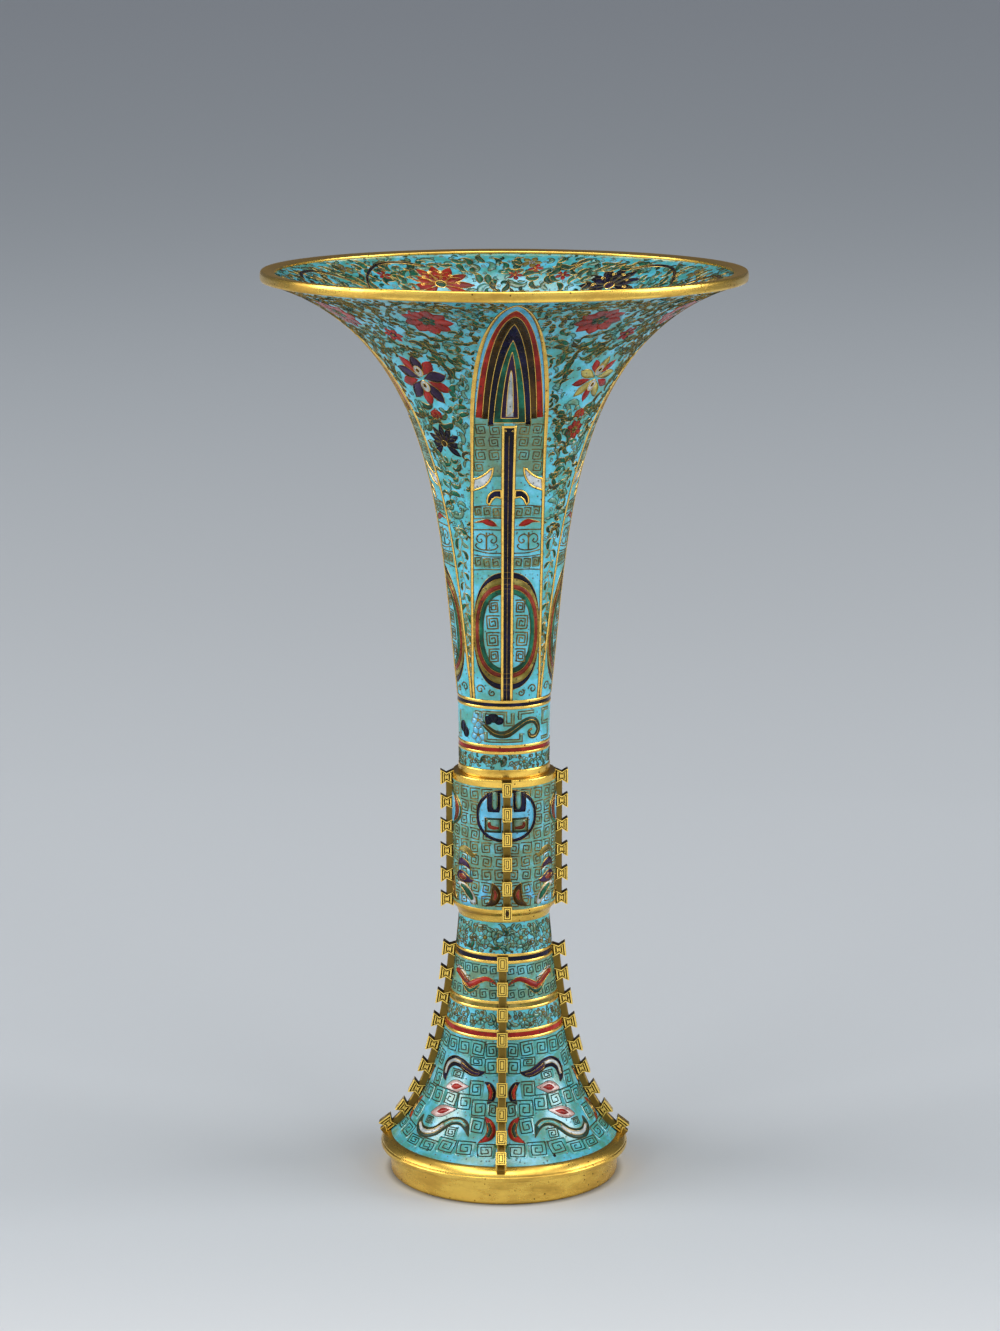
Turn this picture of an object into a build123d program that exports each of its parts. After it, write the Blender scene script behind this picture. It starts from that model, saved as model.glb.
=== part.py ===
from build123d import *
import os

# Gu-shaped altar vase: enamelled copper trumpet, knop and foot, held together by gilt bronze mounts.
# Millimetres, +Z up, origin at the centre of the base ring's underside.

# Heights of the stacked mounts and sections, from the table up
BASE_RING_HEIGHT = 8.4
MOULDING_HEIGHT = 4.2
KNOP_RING_HEIGHT = 4.7
KNOP_HEIGHT = 39.4
SHOULDER_HEIGHT = 2.5
COLLAR_HEIGHT = 2.8
FLARE_HEIGHT = 129.55
RIM_HEIGHT = 3.2

# Heights of the enamel bands; a gilt fillet lies above and below each narrow coloured band
FILLET_HEIGHT = 0.95
FOOT_MASK_HEIGHT = 35.8
FOOT_RED_HEIGHT = 1.35
FOOT_LOTUS_HEIGHT = 5.95
FOOT_OCHRE_HEIGHT = 1.1
FOOT_SMALL_MASK_HEIGHT = 11.8
FOOT_BLUE_HEIGHT = 1.35
STEM_LOTUS_HEIGHT = 9.95
NECK_LOTUS_HEIGHT = 4.85
NECK_RED_HEIGHT = 1.2
NECK_SCROLL_HEIGHT = 11.4
NECK_BLUE_HEIGHT = 1.0

# Outside radii of the walls, and what stands out from them
FOOT_RADIUS = 36.4
NECK_RADIUS = 14.2
LIP_RADIUS = 73.6
NECK_SPREAD = 0.46          # the neck widens this much to its top
STEM_SPREAD = 0.1           # the stem under the knop is this much wider than the neck
KNOP_STEP = 2.2             # the knop stands out from the neck
COLLAR_PROUD = 0.3          # the collar from the neck
RIM_OVERHANG = 1.5          # the rim from the lip
MOULDING_OVERHANG = 3.3     # the moulding from the foot's edge
BASE_RING_SETBACK = 3.2     # the base ring back from the moulding

# Foot and trumpet curves: how far each end's tangent reaches, and its angle
FOOT_FLARE_RISE = 36.9      # degrees above the horizontal at the foot's edge
FOOT_FLARE_REACH = 20.7
STEM_LEAN = 5.2             # degrees off the vertical at the stem
STEM_REACH = 27.0
NECK_LEAN = 6.3             # degrees off the vertical at the neck
NECK_REACH = 50.2
LIP_RISE = 17.6             # degrees above the horizontal at the lip
LIP_REACH = 57.3

# Wall layers
ENAMEL = 0.8
COPPER = 1.2
LINING = 0.7                # enamel inside the mouth
LINING_DROP = 60.0          # depth of the lining below the lip
FILLET_PROUD = 0.12         # how far the gilt fillets stand out of the enamel
SOLDER_GAP = 0.05           # around every spigot and in every seat

# Gilt mounts
BASE_RING_WALL = 3.4
BASE_RING_EASE = 0.4        # broken edges of the base ring
MOULDING_LIP = 1.6          # upright face of the moulding
MOULDING_EASE = 0.4
MOULDING_BULGE = 0.45       # rounding of the moulding's sloping face
MOULDING_LEDGE = 2.6        # width of the ledge inside the foot
KNOP_RING_LAP = 0.2         # the ring under the knop laps over the stem
KNOP_RING_STEP = 0.35       # small step half way down that ring
SHOULDER_EASE = 0.4
COLLAR_EASE = 0.6
RIM_FACE_WIDTH = 4.5
RIM_FLAT = 1.6              # level part of the rim's top
RIM_FACE_FALL = 0.5         # the rest slopes this much to the inside
RIM_EASE = 0.5
SPIGOT_DROP = 4.0           # how far the trumpet's tube reaches into the knop
FLOOR_THICKNESS = 1.4

# Notched flanges: four on the knop and four on the foot
FLANGES = 4
KNOP_TURN = 2.8             # degrees from the front
FOOT_TURN = -1.5
KNOP_TEETH = 6
KNOP_TOOTH_WIDTH = 3.0
KNOP_TOOTH_REACH = 3.8
KNOP_STRIP_WIDTH = 2.3
KNOP_STRIP_REACH = 2.0
KNOP_END_LAP = 0.2          # how far the end teeth's middles lap over the mounts
FOOT_TEETH = 9
FOOT_TOOTH_WIDTH = 3.4
FOOT_TOOTH_REACH = 4.2
FOOT_STRIP_WIDTH = 2.5
FOOT_STRIP_REACH = 2.2
FOOT_TOP_DROP = 12.6        # middle of the top tooth, along the curve from the knop's ring
FOOT_END_DROP = 0.4         # middle of the bottom tooth above the foot's edge
FOOT_TOE = 1.2              # strip showing below the bottom tooth
TOOTH_HEIGHT = 4.7
TOOTH_WAIST = 2.6
FLANGE_SINK = 1.0           # flange blank below the surface, before it is cut to the body
PIN_RADIUS = 0.6
PIN_SEAT = 1.2              # depth of a pin in its flange
KNOP_PIN_GAPS = (1, 5)      # the gaps between teeth that hold pins, counted from the top
FOOT_PIN_GAPS = (3, 7)

# Radii that follow from those
NECK_TOP_RADIUS = NECK_RADIUS + NECK_SPREAD
STEM_RADIUS = NECK_RADIUS + STEM_SPREAD
KNOP_RADIUS = NECK_RADIUS + KNOP_STEP
COLLAR_RADIUS = NECK_RADIUS + COLLAR_PROUD
RIM_RADIUS = LIP_RADIUS + RIM_OVERHANG
MOULDING_RADIUS = FOOT_RADIUS + MOULDING_OVERHANG
BASE_RING_RADIUS = MOULDING_RADIUS - BASE_RING_SETBACK

# Levels
FOOT_BANDS = [
    ("foot_mask_enamel", FOOT_MASK_HEIGHT),
    ("foot_red_fillets", FILLET_HEIGHT),
    ("foot_red_enamel", FOOT_RED_HEIGHT),
    ("foot_red_fillets", FILLET_HEIGHT),
    ("foot_lotus_enamel", FOOT_LOTUS_HEIGHT),
    ("foot_ochre_fillets", FILLET_HEIGHT),
    ("foot_ochre_enamel", FOOT_OCHRE_HEIGHT),
    ("foot_ochre_fillets", FILLET_HEIGHT),
    ("foot_small_mask_enamel", FOOT_SMALL_MASK_HEIGHT),
    ("foot_blue_fillets", FILLET_HEIGHT),
    ("foot_blue_enamel", FOOT_BLUE_HEIGHT),
    ("foot_blue_fillets", FILLET_HEIGHT),
    ("stem_lotus_enamel", STEM_LOTUS_HEIGHT),
]
NECK_BANDS = [
    ("neck_lotus_enamel", NECK_LOTUS_HEIGHT),
    ("neck_red_fillets", FILLET_HEIGHT),
    ("neck_red_enamel", NECK_RED_HEIGHT),
    ("neck_red_fillets", FILLET_HEIGHT),
    ("neck_scroll_enamel", NECK_SCROLL_HEIGHT),
    ("neck_blue_fillets", FILLET_HEIGHT),
    ("neck_blue_enamel", NECK_BLUE_HEIGHT),
    ("neck_blue_fillets", FILLET_HEIGHT),
    ("trumpet_enamel", FLARE_HEIGHT + RIM_HEIGHT),
]
Z_MOULDING = BASE_RING_HEIGHT
Z_FOOT = Z_MOULDING + MOULDING_HEIGHT
Z_KNOP_RING = Z_FOOT + sum(height for name, height in FOOT_BANDS)
Z_KNOP = Z_KNOP_RING + KNOP_RING_HEIGHT
Z_SHOULDER = Z_KNOP + KNOP_HEIGHT
Z_COLLAR = Z_SHOULDER + SHOULDER_HEIGHT
Z_NECK = Z_COLLAR + COLLAR_HEIGHT
Z_FLARE = Z_NECK + sum(height for name, height in NECK_BANDS[:-1])
Z_LIP = Z_FLARE + FLARE_HEIGHT
Z_TOP = Z_LIP + RIM_HEIGHT
BACKED = ENAMEL + COPPER    # depth of the copper's inner face
LINED = BACKED + LINING     # depth of the lining's inner face


def at(radius, z):
    """A point of a section: radius along X, height along Z."""
    return Vector(radius, 0, z)


def along(degrees_up, length):
    """A step in the section plane, at an angle above the outward horizontal."""
    return Vector(length, 0, 0).rotate(Axis.Y, -degrees_up)


# Both curves run upwards, so the inside of the vessel is always on their left
FOOT_EDGE = at(FOOT_RADIUS, Z_FOOT)
STEM_TOP = at(STEM_RADIUS, Z_KNOP_RING)
NECK_TOP = at(NECK_TOP_RADIUS, Z_FLARE)
LIP = at(LIP_RADIUS, Z_LIP)
FOOT_CURVE = (
    FOOT_EDGE,
    FOOT_EDGE - along(-FOOT_FLARE_RISE, FOOT_FLARE_REACH),
    STEM_TOP - along(90 + STEM_LEAN, STEM_REACH),
    STEM_TOP,
)
TRUMPET_CURVE = (
    NECK_TOP,
    NECK_TOP + along(90 - NECK_LEAN, NECK_REACH),
    LIP - along(LIP_RISE, LIP_REACH),
    LIP,
)


def left_of(direction):
    """The unit normal on the left of a direction in the section plane."""
    return Vector(-direction.Z, 0, direction.X).normalized()


def inset(curve, depth):
    """The curve moved towards the inside: each end and its tangent shift along that end's normal."""
    start, start_pull, end_pull, end = curve
    start_shift = left_of(start_pull - start) * depth
    end_shift = left_of(end - end_pull) * depth
    return start + start_shift, start_pull + start_shift, end_pull + end_shift, end + end_shift


def outline(points):
    """A closed section with straight sides."""
    return make_face(Polyline(*points, close=True).edges())


def slab(low, high, inner=0.0, outer=2 * RIM_RADIUS):
    """A rectangular section between two heights."""
    return outline([at(inner, low), at(outer, low), at(outer, high), at(inner, high)])


def layer(curve, outside, inside, below=(), above=()):
    """The section between two depths of a curve, with straight stretches added below or above it."""
    outer = inset(curve, outside)
    inner = inset(curve, inside)
    top = [inner[3], *(at(r - inside, z) for r, z in above)]
    top = [outer[3], *(at(r - outside, z) for r, z in above), *reversed(top)]
    bottom = [outer[0], *(at(r - outside, z) for r, z in below)]
    bottom = [inner[0], *(at(r - inside, z) for r, z in below), *reversed(bottom)]
    edges = [Bezier(*outer), *Polyline(*top).edges(), Bezier(*inner), *Polyline(*bottom).edges()]
    return make_face(edges)


def turned(section):
    """A section spun into a full ring."""
    return revolve(section, Axis.Z, 360)


def pick(section, point):
    """The corner of a section nearest to a point."""
    return section.vertices().sort_by_distance(point)[0]


def eased(section, radius, *points):
    """A section with some of its corners rounded."""
    corners = [pick(section, point) for point in points]
    return fillet(corners, radius)


def band_rings(enamel_layer, fillet_layer, low, start, bands):
    """Rings cut from the wall's enamel layer, band by band; fillets come from the prouder layer."""
    rings = {}
    top = start
    for name, height in bands:
        source = fillet_layer if name.endswith("fillets") else enamel_layer
        top += height
        rings.setdefault(name, []).append(turned(source & slab(low, top)))
        low = top
    return {name: Compound(children=solids) for name, solids in rings.items()}


# Copper walls and the enamel on them
def foot_sections():
    """Copper wall of the foot with its spigot up into the knop's ring, and its enamel rings."""
    copper = layer(FOOT_CURVE, ENAMEL, BACKED, above=[(STEM_RADIUS, Z_KNOP - SOLDER_GAP)])
    plain = layer(FOOT_CURVE, 0, ENAMEL)
    proud = layer(FOOT_CURVE, -FILLET_PROUD, ENAMEL)
    return turned(copper), band_rings(plain, proud, Z_MOULDING, Z_FOOT, FOOT_BANDS)


def trumpet_sections():
    """Copper wall of the trumpet with its spigot down into the knop, and its enamel rings."""
    neck = [(NECK_RADIUS, Z_NECK)]
    spigot = [*neck, (NECK_RADIUS, Z_SHOULDER - SPIGOT_DROP)]
    copper = layer(TRUMPET_CURVE, ENAMEL, BACKED, below=spigot)
    plain = layer(TRUMPET_CURVE, 0, ENAMEL, below=neck)
    proud = layer(TRUMPET_CURVE, -FILLET_PROUD, ENAMEL, below=neck)
    return turned(copper), band_rings(plain, proud, Z_NECK, Z_NECK, NECK_BANDS)


def mouth_lining():
    """Enamel inside the mouth, and the gilt fillet that ends it."""
    low = Z_LIP - LINING_DROP
    plain = layer(TRUMPET_CURVE, BACKED, LINED)
    proud = layer(TRUMPET_CURVE, BACKED, LINED + FILLET_PROUD)
    lining = turned(plain & slab(low, Z_TOP))
    return lining, turned(proud & slab(low - FILLET_HEIGHT, low))


def knop_sections():
    """The knop's copper drum and the enamel round it."""
    drum_radius = KNOP_RADIUS - ENAMEL
    drum = turned(slab(Z_KNOP, Z_SHOULDER, drum_radius - COPPER, drum_radius))
    return drum, turned(slab(Z_KNOP, Z_SHOULDER, drum_radius, KNOP_RADIUS))


# Gilt bronze mounts
def mouth_rim():
    """Rim cast to lap over the lip: upright outside, level and then gently sloping on top."""
    inner = RIM_RADIUS - RIM_FACE_WIDTH
    crest = at(RIM_RADIUS, Z_TOP)
    foot = at(RIM_RADIUS, Z_LIP)
    top = [crest, at(RIM_RADIUS - RIM_FLAT, Z_TOP), at(inner, Z_TOP - RIM_FACE_FALL)]
    section = outline([foot, *top, at(inner, Z_LIP)])
    section = eased(section, RIM_EASE, crest)
    return turned(section - layer(TRUMPET_CURVE, 0, LINED))


def neck_collar():
    """Collar round the bottom of the neck, seated on the shoulder."""
    bore = NECK_RADIUS - ENAMEL + SOLDER_GAP
    section = slab(Z_COLLAR, Z_NECK, bore, COLLAR_RADIUS)
    return turned(eased(section, COLLAR_EASE, at(COLLAR_RADIUS, Z_NECK)))


def knop_shoulder():
    """Flat cap of the knop, pierced for the trumpet's spigot."""
    bore = NECK_RADIUS - ENAMEL + SOLDER_GAP
    section = slab(Z_SHOULDER, Z_COLLAR, bore, KNOP_RADIUS)
    return turned(eased(section, SHOULDER_EASE, at(KNOP_RADIUS, Z_COLLAR)))


def knop_ring():
    """Stepped ring under the knop, bored for the foot's spigot."""
    bore = STEM_RADIUS - ENAMEL + SOLDER_GAP
    foot = STEM_RADIUS + KNOP_RING_LAP
    waist = Z_KNOP_RING + KNOP_RING_HEIGHT / 2
    middle = (KNOP_RADIUS + foot) / 2
    corner = at(KNOP_RADIUS, waist + KNOP_RING_HEIGHT / 4)
    section = outline([
        at(bore, Z_KNOP_RING), at(foot, Z_KNOP_RING),
        at(middle - KNOP_RING_STEP, waist), at(middle, waist), corner,
        at(KNOP_RADIUS, Z_KNOP), at(bore, Z_KNOP),
    ])
    return turned(section)


def floor_disc():
    """Floor of the vessel, inside the knop, on its ring and the foot's spigot."""
    radius = KNOP_RADIUS - ENAMEL - COPPER - SOLDER_GAP
    return turned(slab(Z_KNOP, Z_KNOP + FLOOR_THICKNESS, 0, radius))


def foot_moulding():
    """Sloping moulding that the foot's wall stands in."""
    wall_edge = inset(FOOT_CURVE, BACKED)[0]
    lip_top = at(MOULDING_RADIUS, Z_MOULDING + MOULDING_LIP)
    slope = lip_top - FOOT_EDGE
    crown = FOOT_EDGE + slope / 2 + left_of(slope) * MOULDING_BULGE
    ledge = wall_edge.X - MOULDING_LEDGE
    rest = [
        lip_top, at(MOULDING_RADIUS, Z_MOULDING + MOULDING_EASE),
        at(MOULDING_RADIUS - MOULDING_EASE, Z_MOULDING), at(ledge, Z_MOULDING),
        at(ledge, wall_edge.Z), wall_edge, FOOT_EDGE,
    ]
    return turned(make_face([ThreePointArc(FOOT_EDGE, crown, lip_top), *Polyline(*rest).edges()]))


def base_ring():
    """Upright ring that the vase stands on."""
    section = slab(0, BASE_RING_HEIGHT, BASE_RING_RADIUS - BASE_RING_WALL, BASE_RING_RADIUS)
    return turned(eased(section, BASE_RING_EASE, at(BASE_RING_RADIUS, 0)))


# Notched flanges
def tooth(foot, outward, reach, width):
    """A tooth waisted like a bow tie, seen from the side."""
    up = left_of(outward)
    half, waist = TOOTH_HEIGHT / 2, TOOTH_WAIST / 2
    edge = [(-FLANGE_SINK, half), (0, half), (reach / 2, waist), (reach, half)]
    points = [foot + outward * u + up * v for u, v in edge]
    points += [foot + outward * u - up * v for u, v in reversed(edge)]
    return extrude(outline(points), width / 2, dir=(0, 1, 0), both=True)


def pin(foot, outward, depth):
    """A round pin from a flange in through the wall."""
    return Plane(foot - outward * depth, z_dir=outward) * Cylinder(
        PIN_RADIUS, depth + PIN_SEAT, align=(Align.CENTER, Align.CENTER, Align.MIN)
    )


def knop_flange():
    """The knop's front flange as a blank, and its pins."""
    top = Z_SHOULDER + KNOP_END_LAP
    step = (KNOP_HEIGHT + 2 * KNOP_END_LAP) / (KNOP_TEETH - 1)
    out = Vector(1, 0, 0)
    spots = [at(KNOP_RADIUS, top - step * i) for i in range(KNOP_TEETH)]
    strip = slab(spots[-1].Z, spots[0].Z, KNOP_RADIUS - FLANGE_SINK, KNOP_RADIUS + KNOP_STRIP_REACH)
    blank = extrude(strip, KNOP_STRIP_WIDTH / 2, dir=(0, 1, 0), both=True)
    blank += [tooth(spot, out, KNOP_TOOTH_REACH, KNOP_TOOTH_WIDTH) for spot in spots]
    pins = [pin(at(KNOP_RADIUS, top - step * (gap - 0.5)), out, BACKED) for gap in KNOP_PIN_GAPS]
    body = turned(slab(Z_KNOP_RING, Z_COLLAR, 0, KNOP_RADIUS + SOLDER_GAP))
    return blank - body, pins


def foot_core(depth):
    """All that lies inside one depth of the foot's wall, down to the base ring."""
    skin = inset(FOOT_CURVE, depth)
    axis = [skin[3], at(0, skin[3].Z), at(0, Z_MOULDING), at(skin[0].X, Z_MOULDING), skin[0]]
    return turned(make_face([Bezier(*skin), *Polyline(*axis).edges()]))


def foot_flange(moulding):
    """The foot's front flange, which follows the flare down onto the moulding, and its pins."""
    run = Bezier(*FOOT_CURVE)
    top = run.length - FOOT_TOP_DROP
    step = (top - FOOT_END_DROP) / (FOOT_TEETH - 1)

    def spot(distance):
        place = run.position_at(distance, position_mode=PositionMode.LENGTH)
        return place, -left_of(run.tangent_at(distance, position_mode=PositionMode.LENGTH))

    spots = [spot(top - step * i) for i in range(FOOT_TEETH)]
    strip = layer(FOOT_CURVE, -FOOT_STRIP_REACH, FLANGE_SINK) & slab(Z_MOULDING, spots[0][0].Z)
    end, outward = spots[-1]
    down = -left_of(outward)
    toe_end = end + down * (TOOTH_HEIGHT / 2 + FOOT_TOE)
    toe = outline([
        end - outward * FLANGE_SINK, toe_end - outward * FLANGE_SINK,
        toe_end + outward * FOOT_STRIP_REACH / 2, end + outward * FOOT_STRIP_REACH,
    ])
    blank = extrude(strip, FOOT_STRIP_WIDTH / 2, dir=(0, 1, 0), both=True)
    blank += extrude(toe, FOOT_STRIP_WIDTH / 2, dir=(0, 1, 0), both=True)
    blank += [tooth(*place, FOOT_TOOTH_REACH, FOOT_TOOTH_WIDTH) for place in spots]
    body = foot_core(-FILLET_PROUD - SOLDER_GAP)
    inside = foot_core(BACKED)
    pins = [pin(*spot(top - step * (gap - 0.5)), 2 * BACKED) - inside for gap in FOOT_PIN_GAPS]
    return blank - body - moulding, pins


def around(solid, turn):
    """A front piece, made along +X, set out four times: front, right, back, left."""
    return [Rot(0, 0, -90 + turn + 360 / FLANGES * i) * solid for i in range(FLANGES)]


def main():
    foot_wall, foot_rings = foot_sections()
    trumpet_wall, trumpet_rings = trumpet_sections()
    lining, lining_fillet = mouth_lining()
    knop_wall, knop_enamel = knop_sections()
    moulding = foot_moulding()
    knop_blank, knop_pins = knop_flange()
    foot_blank, foot_pins = foot_flange(moulding)

    # The pins' holes go through the flanges, the enamel and the copper
    knop_blank -= knop_pins
    foot_blank -= foot_pins
    knop_pins = [p for one in knop_pins for p in around(one, KNOP_TURN)]
    foot_pins = [p for one in foot_pins for p in around(one, FOOT_TURN)]
    knop_wall -= knop_pins
    knop_enamel -= knop_pins
    foot_wall -= foot_pins
    for name in foot_rings:
        foot_rings[name] -= foot_pins

    nodes = {
        **foot_rings,
        **trumpet_rings,
        "base_ring": base_ring(),
        "foot_moulding": moulding,
        "foot_wall": foot_wall,
        "foot_flange_pins": Compound(children=foot_pins),
        "knop_ring": knop_ring(),
        "knop_wall": knop_wall,
        "knop_enamel": knop_enamel,
        "knop_floor": floor_disc(),
        "knop_shoulder": knop_shoulder(),
        "knop_flange_pins": Compound(children=knop_pins),
        "neck_collar": neck_collar(),
        "trumpet_wall": trumpet_wall,
        "mouth_lining": lining,
        "mouth_lining_fillet": lining_fillet,
        "mouth_rim": mouth_rim(),
    }
    sides = ("front", "right", "back", "left")
    for side, knop_part, foot_part in zip(sides, around(knop_blank, KNOP_TURN), around(foot_blank, FOOT_TURN)):
        nodes["knop_flange_" + side] = knop_part
        nodes["foot_flange_" + side] = foot_part

    os.makedirs("parts", exist_ok=True)
    for name, shape in nodes.items():
        export_step(shape, f"parts/{name}.step")
    print(len(nodes), "nodes, overall height", round(Z_TOP, 2))


main()
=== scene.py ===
# %% [markdown]
# A gu-shaped altar vase. The real one is a copper trumpet, a drum-shaped knop and a flaring foot, covered
# with glass enamel that lies in cells between soldered wires, and held together by gilt bronze mounts.
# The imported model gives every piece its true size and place, so this lesson only adds the finish: fine
# turned surfaces, engraved flanges, and the drawing of the cells and wires. Lengths are in millimetres
# in the helpers, and in metres in the meshes.

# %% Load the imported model
import math

import bmesh
import bpy
import numpy as np
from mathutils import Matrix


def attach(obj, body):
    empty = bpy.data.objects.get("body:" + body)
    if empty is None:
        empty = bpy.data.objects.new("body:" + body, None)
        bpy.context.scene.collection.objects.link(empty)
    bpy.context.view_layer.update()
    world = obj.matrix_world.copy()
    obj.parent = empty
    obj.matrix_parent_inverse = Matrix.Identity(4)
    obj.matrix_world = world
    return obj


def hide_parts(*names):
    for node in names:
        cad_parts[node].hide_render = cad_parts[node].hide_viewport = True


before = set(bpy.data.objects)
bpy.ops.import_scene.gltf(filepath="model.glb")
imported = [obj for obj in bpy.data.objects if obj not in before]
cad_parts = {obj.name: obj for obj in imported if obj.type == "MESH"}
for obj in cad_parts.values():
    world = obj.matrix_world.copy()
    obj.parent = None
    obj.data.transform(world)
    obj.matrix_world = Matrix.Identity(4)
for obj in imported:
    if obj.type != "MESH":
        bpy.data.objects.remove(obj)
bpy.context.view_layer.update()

MM = 0.001

# %% [markdown]
# The camera stands a little above the mouth, about a metre away, and looks down by eleven and a half
# degrees. A long lens keeps the sides of the trumpet nearly parallel. The numbers come from matching the
# ellipses of the rim and the base ring, which fix the angle, and their ratio, which fixes the distance.

# %% Camera
EYE = (-0.0013, -1.0829, 0.3859)
LOOK_DOWN = 11.5065
LENS = 94.97

scene = bpy.context.scene
camera = bpy.data.objects.new("camera", bpy.data.cameras.new("camera"))
camera.data.lens = LENS
camera.location = EYE
camera.rotation_euler = (math.radians(90 - LOOK_DOWN), 0, 0)
scene.collection.objects.link(camera)
scene.camera = camera
scene.view_settings.view_transform = "Standard"
print("camera at", EYE)

# %% [markdown]
# Materials are small node trees. A few helpers keep them readable: they add a node, fill its inputs with a
# value or a link, mix colours and do arithmetic. Colours are written as they look on screen, from 0 to 255,
# and turned into the linear values that Blender works with.

# %% Node helpers
def screen(red, green, blue):
    """A screen colour, 0 to 255, as linear red, green and blue by the sRGB rule, with full opacity."""
    value = np.array([red, green, blue]) / 255
    linear = np.where(value <= 0.04045, value / 12.92, ((value + 0.055) / 1.055) ** 2.4)
    return (*linear.tolist(), 1.0)


def fill(tree, made, inputs):
    """Fills inputs of a node: one that is given a socket is linked to it, and any other is set."""
    for key, value in inputs.items():
        if isinstance(value, bpy.types.NodeSocket):
            tree.links.new(value, made.inputs[key])
        else:
            made.inputs[key].default_value = value


def node(tree, kind, inputs=None, **settings):
    """Adds a node with settings and inputs."""
    made = tree.nodes.new(kind)
    for key, value in settings.items():
        setattr(made, key, value)
    fill(tree, made, inputs or {})
    return made


def mixed(tree, share, first, second):
    """The colour that lies between two colours, by a share from 0 to 1."""
    made = node(tree, "ShaderNodeMix", {0: share, 6: first, 7: second}, data_type="RGBA")
    return made.outputs[2]


def sums(tree, operation, first, second=0.0, clamp=False):
    """One step of arithmetic on values."""
    made = node(tree, "ShaderNodeMath", {0: first, 1: second}, operation=operation, use_clamp=clamp)
    return made.outputs[0]


def ranged(tree, value, low, high, to_low=0.0, to_high=1.0):
    """A value taken smoothly from one range to another."""
    inputs = {"Value": value, "From Min": low, "From Max": high, "To Min": to_low, "To Max": to_high}
    made = node(tree, "ShaderNodeMapRange", inputs, interpolation_type="SMOOTHSTEP")
    return made.outputs["Result"]


def own_place(tree):
    """The coordinates of a point on its own object."""
    return node(tree, "ShaderNodeTexCoord").outputs["Object"]


def noise(tree, scale, detail=2.0, roughness=0.5, flat=1.0):
    """Cloudy noise on the object's own coordinates; a flat above 1 presses it into level streaks."""
    inputs = {0: own_place(tree), 1: (1.0, 1.0, flat)}
    place = node(tree, "ShaderNodeVectorMath", inputs, operation="MULTIPLY").outputs["Vector"]
    inputs = {"Vector": place, "Scale": scale, "Detail": detail, "Roughness": roughness}
    return node(tree, "ShaderNodeTexNoise", inputs).outputs["Fac"]


def pits(tree, scale, core, rim, share):
    """Round pits in a share of the cells of a Voronoi pattern: 1 within the core and 0 past the rim."""
    cells = node(tree, "ShaderNodeTexVoronoi", {"Vector": own_place(tree), "Scale": scale}).outputs
    near = ranged(tree, cells["Distance"], core, rim, 1.0, 0.0)
    lot = node(tree, "ShaderNodeSeparateColor", {0: cells["Color"]}).outputs[0]
    return sums(tree, "MULTIPLY", near, sums(tree, "LESS_THAN", lot, share))


SOCKETS = {"colour": "NodeSocketColor", "value": "NodeSocketFloat"}
COAT = {"Colour": "colour", "Roughness": "value", "Height": "value"}


def group(name, inputs):
    """A new node group that makes a coat; returns its tree, its inputs and its output node."""
    tree = bpy.data.node_groups.new(name, "ShaderNodeTree")
    for way, sockets in (("INPUT", inputs), ("OUTPUT", COAT)):
        for label, kind in sockets.items():
            tree.interface.new_socket(label, in_out=way, socket_type=SOCKETS[kind])
    return tree, tree.nodes.new("NodeGroupInput").outputs, tree.nodes.new("NodeGroupOutput")


def material(name):
    """An empty material; returns it, its node tree and its Principled shader."""
    made = bpy.data.materials.new(name)
    made.use_nodes = True
    return made, made.node_tree, made.node_tree.nodes["Principled BSDF"]


def coated(name, body, inputs, strength, deep):
    """A material with the coat of a node group, its height as bump; returns the coat's node as well."""
    made, tree, shader = material(name)
    coat = node(tree, "ShaderNodeGroup", inputs, node_tree=body)
    relief = {"Height": coat.outputs["Height"], "Strength": strength, "Distance": deep * MM}
    bump = node(tree, "ShaderNodeBump", relief)
    fill(tree, shader, {"Base Color": coat.outputs["Colour"], "Roughness": coat.outputs["Roughness"],
                        "Normal": bump.outputs["Normal"]})
    return made, tree, shader, coat


print("node helpers ready")

# %% [markdown]
# Enamel is ground glass melted into the cells and polished flat. Close up it is never one colour: each
# firing leaves cloudy patches, and burst bubbles leave small dark pits. A picture would fix these to
# one size, so a node group draws them: slow noise moves between three tones, and the cells of a Voronoi
# pattern place the pits, of which only some are kept.

# %% Enamel node group
ENAMEL_PITS, PIT_COLOUR = (820.0, 0.18, 0.3, 0.5), screen(38, 34, 30)
ENAMEL_BUMP = (0.25, 0.1)
GLASS_SHINE, DEEP_SHINE, PALE = 0.95, 0.16, 300


def enamel_group():
    """Colour moves from shade to tone to gleam with cloudy noise; pits darken and sink it."""
    inputs = {"Tone": "colour", "Shade": "colour", "Gleam": "colour", "Cloud Scale": "value"}
    tree, given, result = group("enamel_body", inputs)
    cloud = noise(tree, given["Cloud Scale"], 4.0, 0.6)
    fine = noise(tree, sums(tree, "MULTIPLY", given["Cloud Scale"], 9.0))
    tone = mixed(tree, ranged(tree, cloud, 0.36, 0.56), given["Shade"], given["Tone"])
    tone = mixed(tree, ranged(tree, cloud, 0.5, 0.68), tone, given["Gleam"])
    tone = mixed(tree, ranged(tree, fine, 0.6, 0.78, 0.0, 0.45), tone, given["Shade"])
    pit = pits(tree, *ENAMEL_PITS)
    polish = ranged(tree, fine, 0.3, 0.7, 0.14, 0.26)
    fill(tree, result, {
        "Colour": mixed(tree, sums(tree, "MULTIPLY", pit, 0.85), tone, PIT_COLOUR),
        "Roughness": sums(tree, "ADD", polish, sums(tree, "MULTIPLY", pit, 0.4)),
        "Height": sums(tree, "SUBTRACT", sums(tree, "MULTIPLY", cloud, 0.4), pit),
    })
    return tree


ENAMEL_BODY = enamel_group()


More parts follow.
